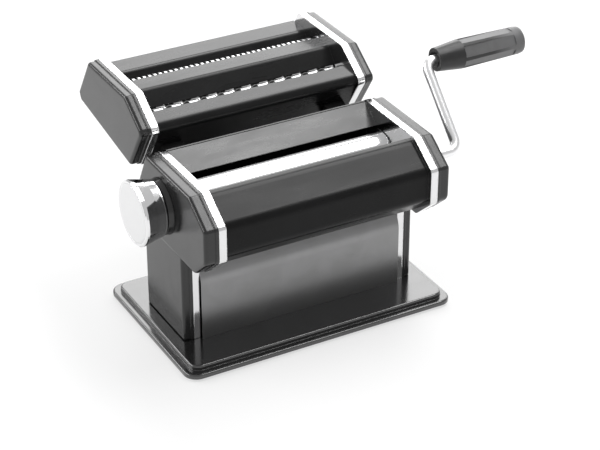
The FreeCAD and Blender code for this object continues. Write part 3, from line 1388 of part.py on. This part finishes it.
def rails():
    """T rails on the sloping back of the machine and the channels of the cutter unit on them."""
    angle = Size(math.degrees(math.atan2(number(slope_run), number(slope_rise))),
                 "(atan2(%s; %s) / 1 deg)" % (slope_run.text, slope_rise.text))
    sin_a, cos_a = slope_run / slope_long, slope_rise / slope_long
    middle_y, middle_z = (leg_rear_y + head_rear_y) / 2, (slope_foot_z + head_top) / 2
    base_n = -rear_cover_inset
    cowl_n = (unit_cowl_foot_y - middle_y) * cos_a + (unit_cowl_foot_z - middle_z) * sin_a
    head_n = (base_n + cowl_n) / 2
    low = rail_foot - slope_long / 2
    tees, hooks = [], []
    for side, tag in ((-1, "Left"), (1, "Right")):
        x = rail_x * float(side)
        rail = new_body("Rail" + tag, middle_y, middle_z, angle, alone=False)
        section = new_sketch(rail, "RailSection" + tag, "XY_Plane", low)
        stem, head = rail_stem / 2, rail_head / 2
        top = head_n + rail_head_depth
        draw_loop(section, [
            (x - stem, base_n), (x + stem, base_n), (x + stem, head_n), (x + head, head_n), (x + head, top),
            (x - head, top), (x - head, head_n), (x - stem, head_n)])
        pad(rail, section, rail_length)
        tees.append(rail)
        hook = new_body("Channel" + tag, middle_y, middle_z, angle, alone=False)
        section = new_sketch(hook, "ChannelSection" + tag, "XY_Plane", low)
        out = head + free_clear + channel_wall
        inner = head + free_clear
        mouth = stem + free_clear
        lip_top = head_n - free_clear
        lip_foot = lip_top - channel_lip
        roof = top + free_clear
        draw_loop(section, [
            (x - mouth, lip_foot), (x - mouth, lip_top), (x - inner, lip_top), (x - inner, roof),
            (x + inner, roof), (x + inner, lip_top), (x + mouth, lip_top), (x + mouth, lip_foot),
            (x + out, lip_foot), (x + out, cowl_n), (x - out, cowl_n), (x - out, lip_foot)])
        pad(hook, section, rail_length)
        hooks.append(hook)
    group("cutter_rails", tees)
    group("cutter_channels", hooks)


base_and_feet()
side_plate("side_plate_left", -1)
side_plate("side_plate_right", 1)
end_cover("end_cover_left", -1)
end_cover("end_cover_right", 1)
panels()
tie_set("tie_rods", "tie_screws", tie_places())
bushes("front_roller_bushes", [(front_roller_y, roller_z)], shaft_r + running_clear, bush_r)
front_roller_set()
rear_roller_set()
bearing_bracket("bearing_bracket_left", -1)
bearing_bracket("bearing_bracket_right", 1)
adjuster_set()
crank_set()
cutter_unit()
rails()

doc.recompute()
for thing in doc.Objects:
    if "Invalid" in thing.State or "Error" in thing.State:
        raise RuntimeError("%s did not build: %s" % (thing.Label, thing.State))
os.makedirs("parts", exist_ok=True)
for node in nodes:
    shape = node.Shape
    if shape.isNull() or not shape.isValid() or not shape.Solids:
        raise RuntimeError("%s has no valid solid" % node.Label)
    shape.exportStep("parts/%s.step" % node.Label)
print("%d sub-parts written" % len(nodes))
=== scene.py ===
"""Pasta roller machine: finishes, a knob spring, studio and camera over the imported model."""

import json
import math

import bmesh
import bpy
from mathutils import Matrix, Vector

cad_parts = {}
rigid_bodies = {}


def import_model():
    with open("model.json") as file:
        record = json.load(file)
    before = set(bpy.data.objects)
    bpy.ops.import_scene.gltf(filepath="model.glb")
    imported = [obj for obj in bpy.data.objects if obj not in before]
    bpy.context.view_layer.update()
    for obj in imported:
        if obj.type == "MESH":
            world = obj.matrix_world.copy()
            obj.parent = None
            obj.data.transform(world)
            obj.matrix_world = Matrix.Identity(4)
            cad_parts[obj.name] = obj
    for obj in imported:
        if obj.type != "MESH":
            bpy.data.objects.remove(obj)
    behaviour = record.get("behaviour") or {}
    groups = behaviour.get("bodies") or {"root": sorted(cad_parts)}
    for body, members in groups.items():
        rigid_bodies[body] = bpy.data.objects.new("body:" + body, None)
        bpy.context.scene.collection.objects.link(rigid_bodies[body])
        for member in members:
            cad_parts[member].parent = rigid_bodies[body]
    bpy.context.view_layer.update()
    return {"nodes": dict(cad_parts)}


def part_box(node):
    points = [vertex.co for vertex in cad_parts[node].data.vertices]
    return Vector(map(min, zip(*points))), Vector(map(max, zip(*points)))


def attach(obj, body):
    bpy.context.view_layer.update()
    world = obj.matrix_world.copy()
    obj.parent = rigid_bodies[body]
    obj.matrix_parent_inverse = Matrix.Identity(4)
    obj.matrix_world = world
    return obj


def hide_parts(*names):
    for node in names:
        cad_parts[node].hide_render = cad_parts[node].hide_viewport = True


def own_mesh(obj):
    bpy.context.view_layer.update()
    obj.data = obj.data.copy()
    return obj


# Lengths are in metres, angles in degrees.
LACQUER_FROM = 0.77  # upward part of a normal where lacquer that keeps to level sheet begins
LACQUER_FULL = 0.87  # and where it has its full weight
GRIP_PANELS_FROM = 0.0193  # where the grip's sunk panels begin, from its inner end

SPRING_WIRE = 0.0009
SPRING_TURNS = 4.5
SPRING_CLOSED = 2.0  # turns that lie closed, one at each end

FLOOR_HALF = 5.0
FLOOR_Z = -0.0004
SKY_STRENGTH = 0.60

CAMERA_PLACE = (-0.5435, -1.0138, 0.7275)
CAMERA_TURN = -28.88
CAMERA_RISE = 30.18
CAMERA_LENS_MM = 117.27
CAMERA_SENSOR_MM = 36.0
CAMERA_NEAR = 0.01

for spare in list(bpy.data.objects):
    bpy.data.objects.remove(spare)

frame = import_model()
nodes = frame["nodes"]
scene = bpy.context.scene
scene.view_settings.view_transform = "Standard"


# ---------------------------------------------------------------- material building

class Look:
    """One material, built up by short calls. Places are in metres, in the part's frame."""

    def __init__(self, name):
        self.mat = bpy.data.materials.new(name)
        self.mat.use_nodes = True
        self.tree = self.mat.node_tree
        self.tree.nodes.clear()
        self.out = self.add("ShaderNodeOutputMaterial")
        self.shader = self.add("ShaderNodeBsdfPrincipled")
        self.tree.links.new(self.shader.outputs["BSDF"], self.out.inputs["Surface"])
        own = self.add("ShaderNodeTexCoord")
        self.place = own.outputs["Object"]
        self.facing = own.outputs["Normal"]

    def add(self, kind, **values):
        node = self.tree.nodes.new(kind)
        for key, value in values.items():
            setattr(node, key, value)
        return node

    def put(self, socket, value):
        """Give a socket a number, a colour or another node's output."""
        if isinstance(value, bpy.types.NodeSocket):
            self.tree.links.new(value, socket)
        else:
            socket.default_value = value

    def vector(self, operation, first, second):
        node = self.add("ShaderNodeVectorMath", operation=operation)
        self.put(node.inputs[0], first)
        self.put(node.inputs[1], second)
        return node

    def math(self, operation, first, second):
        node = self.add("ShaderNodeMath", operation=operation)
        self.put(node.inputs[0], first)
        self.put(node.inputs[1], second)
        return node.outputs[0]

    def coordinate(self, vector, axis):
        """One coordinate of a vector; axis is X, Y or Z."""
        node = self.add("ShaderNodeSeparateXYZ")
        self.put(node.inputs[0], vector)
        return node.outputs[axis]

    def noise(self, scale, detail=3.0, rough=0.5, stretch=None, twist=0.0):
        """Cloudy noise, scale in cycles a metre; stretch multiplies it along x, y and z."""
        node = self.add("ShaderNodeTexNoise")
        place = self.place
        if stretch is not None:
            place = self.vector("MULTIPLY", place, stretch).outputs[0]
        self.put(node.inputs["Vector"], place)
        self.put(node.inputs["Scale"], scale)
        self.put(node.inputs["Detail"], detail)
        self.put(node.inputs["Roughness"], rough)
        self.put(node.inputs["Distortion"], twist)
        return node.outputs["Fac"]

    def radius(self, y, z):
        """How far a place is from an axis along x through (y, z)."""
        away = self.vector("SUBTRACT", self.place, (0.0, y, z)).outputs[0]
        flat = self.vector("MULTIPLY", away, (0.0, 1.0, 1.0)).outputs[0]
        node = self.add("ShaderNodeVectorMath", operation="LENGTH")
        self.put(node.inputs[0], flat)
        return node.outputs["Value"]

    def rings(self, y, z, scale):
        """Fine lines round an axis along x through (y, z)."""
        node = self.add("ShaderNodeTexNoise", noise_dimensions="1D")
        self.put(node.inputs["W"], self.radius(y, z))
        self.put(node.inputs["Scale"], scale)
        self.put(node.inputs["Detail"], 3.0)
        return node.outputs["Fac"]

    def level(self, value, low, high, to_low, to_high):
        """Carry a value's span from low to high over to another span, and hold it there."""
        node = self.add("ShaderNodeMapRange", clamp=True)
        self.put(node.inputs["Value"], value)
        self.put(node.inputs["From Min"], low)
        self.put(node.inputs["From Max"], high)
        self.put(node.inputs["To Min"], to_low)
        self.put(node.inputs["To Max"], to_high)
        return node.outputs["Result"]

    def mix(self, share, first, second):
        """A colour between two colours."""
        node = self.add("ShaderNodeMix", data_type="RGBA", clamp_factor=True)
        self.put(node.inputs[0], share)
        self.put(node.inputs[6], first)
        self.put(node.inputs[7], second)
        return node.outputs[2]

    def blend(self, value, low, high, first, second):
        """A colour that goes from first to second as a value goes from low to high."""
        return self.mix(self.level(value, low, high, 0.0, 1.0), first, second)

    def soft_normal(self, radius):
        """Normals that run round the sharp edges."""
        node = self.add("ShaderNodeBevel", samples=6)
        self.put(node.inputs["Radius"], radius)
        return node.outputs[0]

    def round_edges(self, radius):
        """Normals that run round the sharp edges, and how near a place is to one."""
        soft = self.soft_normal(radius)
        plain = self.add("ShaderNodeNewGeometry").outputs["Normal"]
        same = self.vector("DOT_PRODUCT", soft, plain).outputs["Value"]
        return soft, self.level(same, 0.99, 0.8, 0.0, 1.0)

    def bump(self, height, distance, normal):
        node = self.add("ShaderNodeBump")
        self.put(node.inputs["Strength"], 1.0)
        self.put(node.inputs["Distance"], distance)
        self.put(node.inputs["Height"], height)
        self.put(node.inputs["Normal"], normal)
        return node.outputs["Normal"]

    def set(self, **values):
        """Give the shader's sockets their values; an underscore stands for a space in a socket's name."""
        for key, value in values.items():
            self.put(self.shader.inputs[key.replace("_", " ")], value)


def grey(value, blue=1.0):
    return (value, value, value * blue, 1.0)


def enamel(name, tone, rough, shine, edge, peel=1.6e-5, lacquer=0.0, level_only=False):
    """Sprayed black: slight orange peel, clouded sheen, wiping marks and paint rubbed thin at edges.

    A clear lacquer lies over it, and with level_only it stops where a sheet turns down steeply.
    """
    look = Look(name)
    cloud = look.noise(38.0, 4.0, 0.6)
    wipe = look.noise(90.0, 4.0, 0.6, stretch=(0.18, 1.0, 1.0), twist=0.4)
    speck = look.noise(1900.0, 1.0, 0.4)
    normal, near = look.round_edges(edge)
    broken = look.level(look.noise(420.0, 4.0, 0.7), 0.42, 0.62, 0.0, 1.0)
    rubbed = look.math("MULTIPLY", near, broken)
    colour = look.blend(cloud, 0.3, 0.7, grey(tone * 0.75), grey(tone * 1.3, 1.04))
    dusty = look.level(speck, 0.70, 0.80, 0.0, 0.35)
    colour = look.mix(dusty, colour, grey(0.09))
    colour = look.mix(look.math("MULTIPLY", rubbed, 0.35), colour, grey(0.13))
    look.set(Base_Color=colour)
    sheen = look.level(wipe, 0.3, 0.72, rough - 0.05, rough + 0.07)
    sheen = look.math("ADD", sheen, look.math("MULTIPLY", rubbed, 0.12))
    if level_only:
        upward = look.coordinate(look.facing, "Z")
        lacquer = look.level(upward, LACQUER_FROM, LACQUER_FULL, 0.0, lacquer)
    look.set(Roughness=sheen, Specular_IOR_Level=shine, Coat_Weight=lacquer, Coat_Roughness=0.12)
    look.set(Normal=look.bump(look.noise(1100.0, 2.0, 0.5), peel, normal))
    return look.mat


def moulding(name, tone, rough, shine, edge):
    """Black plastic from a fine-etched tool, with polished edges and faint finger marks."""
    look = Look(name)
    marks = look.noise(55.0, 5.0, 0.62, twist=0.6)
    cloud = look.noise(24.0, 3.0, 0.5)
    normal, near = look.round_edges(edge)
    colour = look.blend(cloud, 0.3, 0.7, grey(tone * 0.8), grey(tone * 1.25, 1.03))
    scuff = look.level(look.noise(300.0, 5.0, 0.7, stretch=(1.0, 0.2, 1.0)), 0.6, 0.75, 0.0, 1.0)
    scuff = look.math("MULTIPLY", scuff, near)
    look.set(Base_Color=look.mix(look.math("MULTIPLY", scuff, 0.3), colour, grey(0.1)))
    sheen = look.level(marks, 0.3, 0.7, rough - 0.05, rough + 0.06)
    sheen = look.math("SUBTRACT", sheen, look.math("MULTIPLY", near, 0.06))
    look.set(Roughness=sheen, Specular_IOR_Level=shine)
    look.set(Normal=look.bump(look.noise(2600.0, 2.0, 0.6), 1.4e-5, normal))
    return look.mat


def grip_moulding(name, y, z, radius, start):
    """Black handle plastic: sunk panels with a fine matt grain between smoother ribs; the panels are also
    coloured a lighter grey as a painted highlight.
    """
    look = Look(name)
    marks = look.noise(70.0, 5.0, 0.62, twist=0.5)
    normal, near = look.round_edges(0.0005)
    sunk = look.level(look.radius(y, z), radius - 0.0005, radius - 0.0003, 1.0, 0.0)
    along = look.coordinate(look.place, "X")
    sunk = look.math("MULTIPLY", sunk, look.level(along, start, start + 0.0003, 0.0, 1.0))
    rib = look.blend(marks, 0.3, 0.7, grey(0.014), grey(0.022, 1.03))
    # painted highlight: the sunk panels are coloured light grey, as if they caught the lamp
    painted_highlight_panel = look.blend(marks, 0.3, 0.7, grey(0.11), grey(0.14, 1.02))
    colour = look.mix(sunk, rib, painted_highlight_panel)
    look.set(Base_Color=look.mix(look.math("MULTIPLY", near, 0.25), colour, grey(0.08)))
    sheen = look.level(marks, 0.3, 0.7, 0.30, 0.40)
    sheen = look.math("ADD", sheen, look.math("MULTIPLY", sunk, 0.06))
    look.set(Roughness=sheen, Specular_IOR_Level=0.42)
    look.set(Normal=look.bump(look.noise(2400.0, 2.0, 0.6), 1.8e-5, normal))
    return look.mat


def plating(name, tone, rough, edge, lines=None, depth=2.0e-6):
    """Bright or plain metal with wiping marks and hair scratches.

    Lines, a noise scale and its stretch, puts fine working marks in place of the scratches' relief.
    """
    look = Look(name)
    smudge = look.noise(48.0, 5.0, 0.6, twist=0.8)
    hair = look.noise(700.0, 3.0, 0.6, stretch=(0.05, 1.0, 0.5))
    colour = look.blend(smudge, 0.3, 0.72, grey(tone, 1.012), grey(tone * 0.93))
    look.set(Base_Color=colour, Metallic=1.0)
    scratched = look.level(hair, 0.62, 0.7, 0.0, 0.06)
    sheen = look.level(smudge, 0.32, 0.75, rough, rough + 0.07)
    look.set(Roughness=look.math("ADD", sheen, scratched))
    height = hair
    if lines is not None:
        height = look.noise(lines[0], 2.0, 0.6, stretch=lines[1])
    look.set(Normal=look.bump(height, depth, look.soft_normal(edge)))
    return look.mat


def turned_face(name, tone, rough, y, z):
    """Satin metal faced on a lathe: fine lines round the axis."""
    look = Look(name)
    line = look.rings(y, z, 5200.0)
    broad = look.rings(y, z, 700.0)
    stain = look.noise(70.0, 4.0, 0.6)
    normal, near = look.round_edges(0.0004)
    colour = look.blend(line, 0.3, 0.7, grey(tone * 0.94), grey(tone, 1.01))
    colour = look.mix(look.level(stain, 0.5, 0.8, 0.0, 0.12), colour, grey(tone * 0.8))
    look.set(Base_Color=colour, Metallic=1.0)
    sheen = look.level(broad, 0.3, 0.7, rough - 0.04, rough + 0.05)
    look.set(Roughness=look.math("SUBTRACT", sheen, look.math("MULTIPLY", near, 0.1)))
    look.set(Normal=look.bump(line, 3.0e-6, normal))
    return look.mat


def ringed(name, tone, y, z, tip):
    """Cutting roller: burnished ring tops; below them the grooves and ring sides are painted near black as
    painted shade, and are duller.
    """
    look = Look(name)
    smudge = look.noise(70.0, 4.0, 0.6)
    line = look.noise(60.0, 2.0, 0.6, stretch=(80.0, 1.0, 1.0))
    top = look.level(look.radius(y, z), tip - 0.0006, tip - 0.0001, 0.0, 1.0)
    # painted shade: everything below the ring tops is coloured near black, standing in for shade in the
    # grooves
    painted_shade_groove = look.blend(smudge, 0.35, 0.7, grey(0.05), grey(0.11, 0.96))
    bright = look.blend(smudge, 0.3, 0.72, grey(tone, 1.01), grey(tone * 0.9))
    look.set(Base_Color=look.mix(top, painted_shade_groove, bright), Metallic=1.0)
    sheen = look.level(smudge, 0.3, 0.72, 0.14, 0.24)
    dull = look.math("MULTIPLY", look.math("SUBTRACT", 1.0, top), 0.18)
    look.set(Roughness=look.math("ADD", sheen, dull))
    look.set(Normal=look.bump(line, 4.0e-6, look.soft_normal(0.0002)))
    return look.mat


def nylon(name):
    """Cream bush plastic with patches of old grease."""
    look = Look(name)
    cloud = look.noise(160.0, 4.0, 0.6)
    colour = look.blend(cloud, 0.3, 0.7, (0.72, 0.70, 0.64, 1.0), (0.82, 0.81, 0.76, 1.0))
    grease = look.level(look.noise(90.0, 4.0, 0.6), 0.56, 0.7, 0.0, 0.5)
    look.set(Base_Color=look.mix(grease, colour, (0.42, 0.38, 0.30, 1.0)))
    look.set(Roughness=look.level(cloud, 0.3, 0.7, 0.36, 0.52))
    look.set(Normal=look.bump(look.noise(1800.0, 2.0, 0.5), 1.2e-5, look.soft_normal(0.0003)))
    return look.mat


def rubber(name):
    """Dull black rubber with dust on it."""
    look = Look(name)
    cloud = look.noise(120.0, 5.0, 0.65)
    colour = look.blend(cloud, 0.35, 0.7, grey(0.022), grey(0.045))
    dust = look.level(look.noise(520.0, 4.0, 0.7), 0.58, 0.72, 0.0, 0.4)
    look.set(Base_Color=look.mix(dust, colour, (0.16, 0.155, 0.15, 1.0)))
    look.set(Roughness=look.level(cloud, 0.3, 0.7, 0.66, 0.84), Specular_IOR_Level=0.35)
    look.set(Normal=look.bump(look.noise(1500.0, 3.0, 0.6), 4.0e-5, look.soft_normal(0.0008)))
    return look.mat


# ---------------------------------------------------------------- finishes

def axis_of(low, high):
    """Where the middle of a box lies in y and z."""
    return (low.y + high.y) / 2, (low.z + high.z) / 2


knob_y, knob_z = axis_of(*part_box("adjuster_knob"))

grip_low, grip_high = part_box("crank_grip")
grip_y, grip_z = axis_of(grip_low, grip_high)
grip_r = (grip_high.z - grip_low.z) / 2

front_paint = enamel("front_paint", tone=0.005, rough=0.30, shine=0.16, edge=0.0011,
                     lacquer=0.16, level_only=True)
plate_paint = enamel("plate_paint", tone=0.009, rough=0.28, shine=0.16, edge=0.0004,
                     lacquer=0.55, level_only=True)
roof_paint = enamel("roof_paint", tone=0.009, rough=0.28, shine=0.14, edge=0.0004,
                    lacquer=0.22, level_only=True)
base_paint = enamel("base_paint", tone=0.010, rough=0.18, shine=1.0, edge=0.0007, peel=1.2e-5, lacquer=0.5)
hopper_paint = enamel("hopper_paint", tone=0.012, rough=0.27, shine=0.85, edge=0.0004)
inner_paint = enamel("inner_paint", tone=0.008, rough=0.42, shine=0.25, edge=0.0004)
cover_black = moulding("cover_black", tone=0.012, rough=0.21, shine=0.55, edge=0.0011)
grip_black = grip_moulding("grip_black", grip_y, grip_z, grip_r, grip_low.x + GRIP_PANELS_FROM)
chrome = plating("chrome", tone=0.84, rough=0.07, edge=0.0004)
band_chrome = plating("band_chrome", tone=0.80, rough=0.10, edge=0.0013)
rod_chrome = plating("rod_chrome", tone=0.95, rough=0.28, edge=0.0003,
                     lines=(240.0, (1.0, 14.0, 14.0)), depth=3.0e-6)
roller_chrome = plating("roller_chrome", tone=0.88, rough=0.10, edge=0.0004,
                        lines=(60.0, (90.0, 1.0, 1.0)), depth=3.0e-6)
turned_steel = plating("turned_steel", tone=0.60, rough=0.24, edge=0.0003,
                       lines=(60.0, (70.0, 1.0, 1.0)), depth=6.0e-6)
chute_steel = plating("chute_steel", tone=0.27, rough=0.30, edge=0.0003,
                      lines=(50.0, (60.0, 1.0, 1.0)), depth=4.0e-6)
knob_satin = turned_face("knob_satin", 0.80, 0.34, knob_y, knob_z)
bush_nylon = nylon("bush_nylon")
foot_rubber = rubber("foot_rubber")

finish_of_slot = {
    "black_paint": plate_paint,
    "base_enamel": base_paint,
    "cover_moulding": cover_black,
    "chrome_plate": chrome,
    "roller_chrome": roller_chrome,
    "plain_steel": turned_steel,
    "knob_satin": knob_satin,
    "grip_plastic": grip_black,
    "bush_plastic": bush_nylon,
    "foot_rubber": foot_rubber,
}
own_finish = {
    "front_cover": front_paint,
    "dough_chute": chute_steel,
    "hopper_plate": hopper_paint,
    "cutter_middle_plate": roof_paint,
    "cutter_rails": inner_paint,
    "cutter_channels": inner_paint,
    "crank_rod": rod_chrome,
    "side_plate_left": band_chrome,
    "side_plate_right": band_chrome,
    "cutter_plate_left": band_chrome,
    "cutter_plate_right": band_chrome,
}
for name in ("wide_cutter_front", "wide_cutter_rear", "narrow_cutter_front", "narrow_cutter_rear"):
    low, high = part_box(name)
    own_finish[name] = ringed(name + "_steel", 0.84, *axis_of(low, high), tip=(high.z - low.z) / 2)


def slot_of(name):
    """The record's material slot of a CAD node, read from the name its imported material carries."""
    held = nodes[name].data.materials
    return held[0].name.split(".")[0] if held and held[0] else "black_paint"


for name, node in nodes.items():
    finish = own_finish.get(name) or finish_of_slot[slot_of(name)]
    node.data.materials.clear()
    node.data.materials.append(finish)


# ---------------------------------------------------------------- knob spring

def coil(name, low, high, wire, turns, steps=44, sides=10):
    """A compression spring along x that fills a box, with one closed turn at each end."""
    y, z = axis_of(low, high)
    ring = (high.z - low.z - wire) / 2
    pitch = (high.x - low.x - (SPRING_CLOSED + 1.0) * wire) / (turns - SPRING_CLOSED)
    shape = bmesh.new()
    rows = []
    for k in range(int(turns * steps) + 1):
        turned = k / steps
        open_turns = min(max(turned - SPRING_CLOSED / 2, 0.0), turns - SPRING_CLOSED)
        along = low.x + wire / 2 + (turned - open_turns) * wire + open_turns * pitch
        out = Vector((0.0, math.cos(turned * math.tau), math.sin(turned * math.tau)))
        middle = Vector((along, y, z)) + out * ring
        row = []
        for s in range(sides):
            turn = s * math.tau / sides
            sideways = Vector((math.sin(turn) * wire / 2, 0.0, 0.0))
            row.append(shape.verts.new(middle + out * (math.cos(turn) * wire / 2) + sideways))
        rows.append(row)
    for near, far in zip(rows, rows[1:]):
        for s in range(sides):
            after = (s + 1) % sides
            shape.faces.new((near[s], near[after], far[after], far[s])).smooth = True
    shape.faces.new(rows[0])
    shape.faces.new(rows[-1])
    bmesh.ops.recalc_face_normals(shape, faces=shape.faces)
    mesh = bpy.data.meshes.new(name)
    shape.to_mesh(mesh)
    shape.free()
    mesh.materials.append(turned_steel)
    piece = bpy.data.objects.new(name, mesh)
    scene.collection.objects.link(piece)
    return piece


spring_low, spring_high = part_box("knob_spring")
spring = coil("knob_coil", spring_low, spring_high, SPRING_WIRE, SPRING_TURNS)
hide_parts("knob_spring")
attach(spring, "adjuster")
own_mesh(spring)


# ---------------------------------------------------------------- studio

def pale(look, own, tone, share):
    """Mix a shader towards plain white where it is seen straight, in gloss or through glass."""
    path = look.add("ShaderNodeLightPath")
    seen = look.math("MAXIMUM", path.outputs["Is Camera Ray"], path.outputs["Is Glossy Ray"])
    seen = look.math("MAXIMUM", seen, path.outputs["Is Transmission Ray"])
    glow = look.add("ShaderNodeEmission")
    look.put(glow.inputs["Color"], grey(tone))
    look.put(glow.inputs["Strength"], 1.0)
    both = look.add("ShaderNodeMixShader")
    look.put(both.inputs[0], look.math("MULTIPLY", seen, share))
    look.put(both.inputs[1], own)
    look.put(both.inputs[2], glow.outputs[0])
    look.put(look.out.inputs["Surface"], both.outputs[0])


def stand(place, right, back):
    """The place and turn of a lamp or camera that looks against back, with right to its right."""
    turn = Matrix((right, back.cross(right), back)).transposed()
    return Matrix.Translation(place) @ turn.to_4x4()


def softbox(name, place, target, wide, high, radiance, tall=(0.0, 1.0, 0.0)):
    """A rectangular lamp at a place, looking at a target; its width lies across the tall direction."""
    lamp = bpy.data.lights.new(name, "AREA")
    lamp.shape = "RECTANGLE"
    lamp.size = wide
    lamp.size_y = high
    lamp.energy = radiance * wide * high * math.pi
    box = bpy.data.objects.new(name, lamp)
    scene.collection.objects.link(box)
    back = (Vector(place) - Vector(target)).normalized()
    box.matrix_world = stand(place, Vector(tall).cross(back).normalized(), back)


floor_look = Look("studio_floor")
floor_look.set(Base_Color=floor_look.mix(floor_look.noise(3.0, 3.0), grey(0.86), grey(0.89)), Roughness=0.7)
floor_look.set(Specular_IOR_Level=0.2)
pale(floor_look, floor_look.shader.outputs["BSDF"], tone=1.0, share=0.6)
floor_mesh = bpy.data.meshes.new("studio_floor")
corners = ((-1, -1), (1, -1), (1, 1), (-1, 1))
floor_mesh.from_pydata([(x * FLOOR_HALF, y * FLOOR_HALF, FLOOR_Z) for x, y in corners], [], [(0, 1, 2, 3)])
floor_mesh.materials.append(floor_look.mat)
floor = bpy.data.objects.new("studio_floor", floor_mesh)
scene.collection.objects.link(floor)

world = bpy.data.worlds.new("studio")
scene.world = world
world.use_nodes = True
tree = world.node_tree
tree.nodes.clear()
sky = tree.nodes.new("ShaderNodeBackground")
sky.inputs["Color"].default_value = grey(1.0)
sky.inputs["Strength"].default_value = SKY_STRENGTH
world_out = tree.nodes.new("ShaderNodeOutputWorld")
tree.links.new(sky.outputs[0], world_out.inputs["Surface"])

softbox("top_box", place=(0.60, 0.06, 1.40), target=(0.60, 0.06, 0.0), wide=0.55, high=1.30, radiance=6.2)
softbox("back_box", place=(0.95, 1.75, 1.05), target=(0.0, 0.02, 0.08), wide=1.7, high=1.1, radiance=3.2)
softbox("left_strip", place=(-1.50, 0.90, 1.00), target=(0.0, 0.0, 0.12), wide=2.2, high=0.40, radiance=8.0,
        tall=(0.0, 0.0, 1.0))
softbox("right_box", place=(1.75, 0.95, 1.10), target=(0.0, 0.0, 0.12), wide=1.0, high=0.8, radiance=2.6)


# ---------------------------------------------------------------- camera

camera_data = bpy.data.cameras.new("camera")
camera_data.sensor_fit = "HORIZONTAL"
camera_data.sensor_width = CAMERA_SENSOR_MM
camera_data.lens = CAMERA_LENS_MM
camera_data.clip_start = CAMERA_NEAR
camera = bpy.data.objects.new("camera", camera_data)
scene.collection.objects.link(camera)
turn_to = math.radians(CAMERA_TURN)
rise_to = math.radians(CAMERA_RISE)
level_part = math.cos(rise_to)
back = Vector((math.sin(turn_to) * level_part, -math.cos(turn_to) * level_part, math.sin(rise_to)))
right = Vector((math.cos(turn_to), math.sin(turn_to), 0.0))
camera.matrix_world = stand(CAMERA_PLACE, right, back)
scene.camera = camera
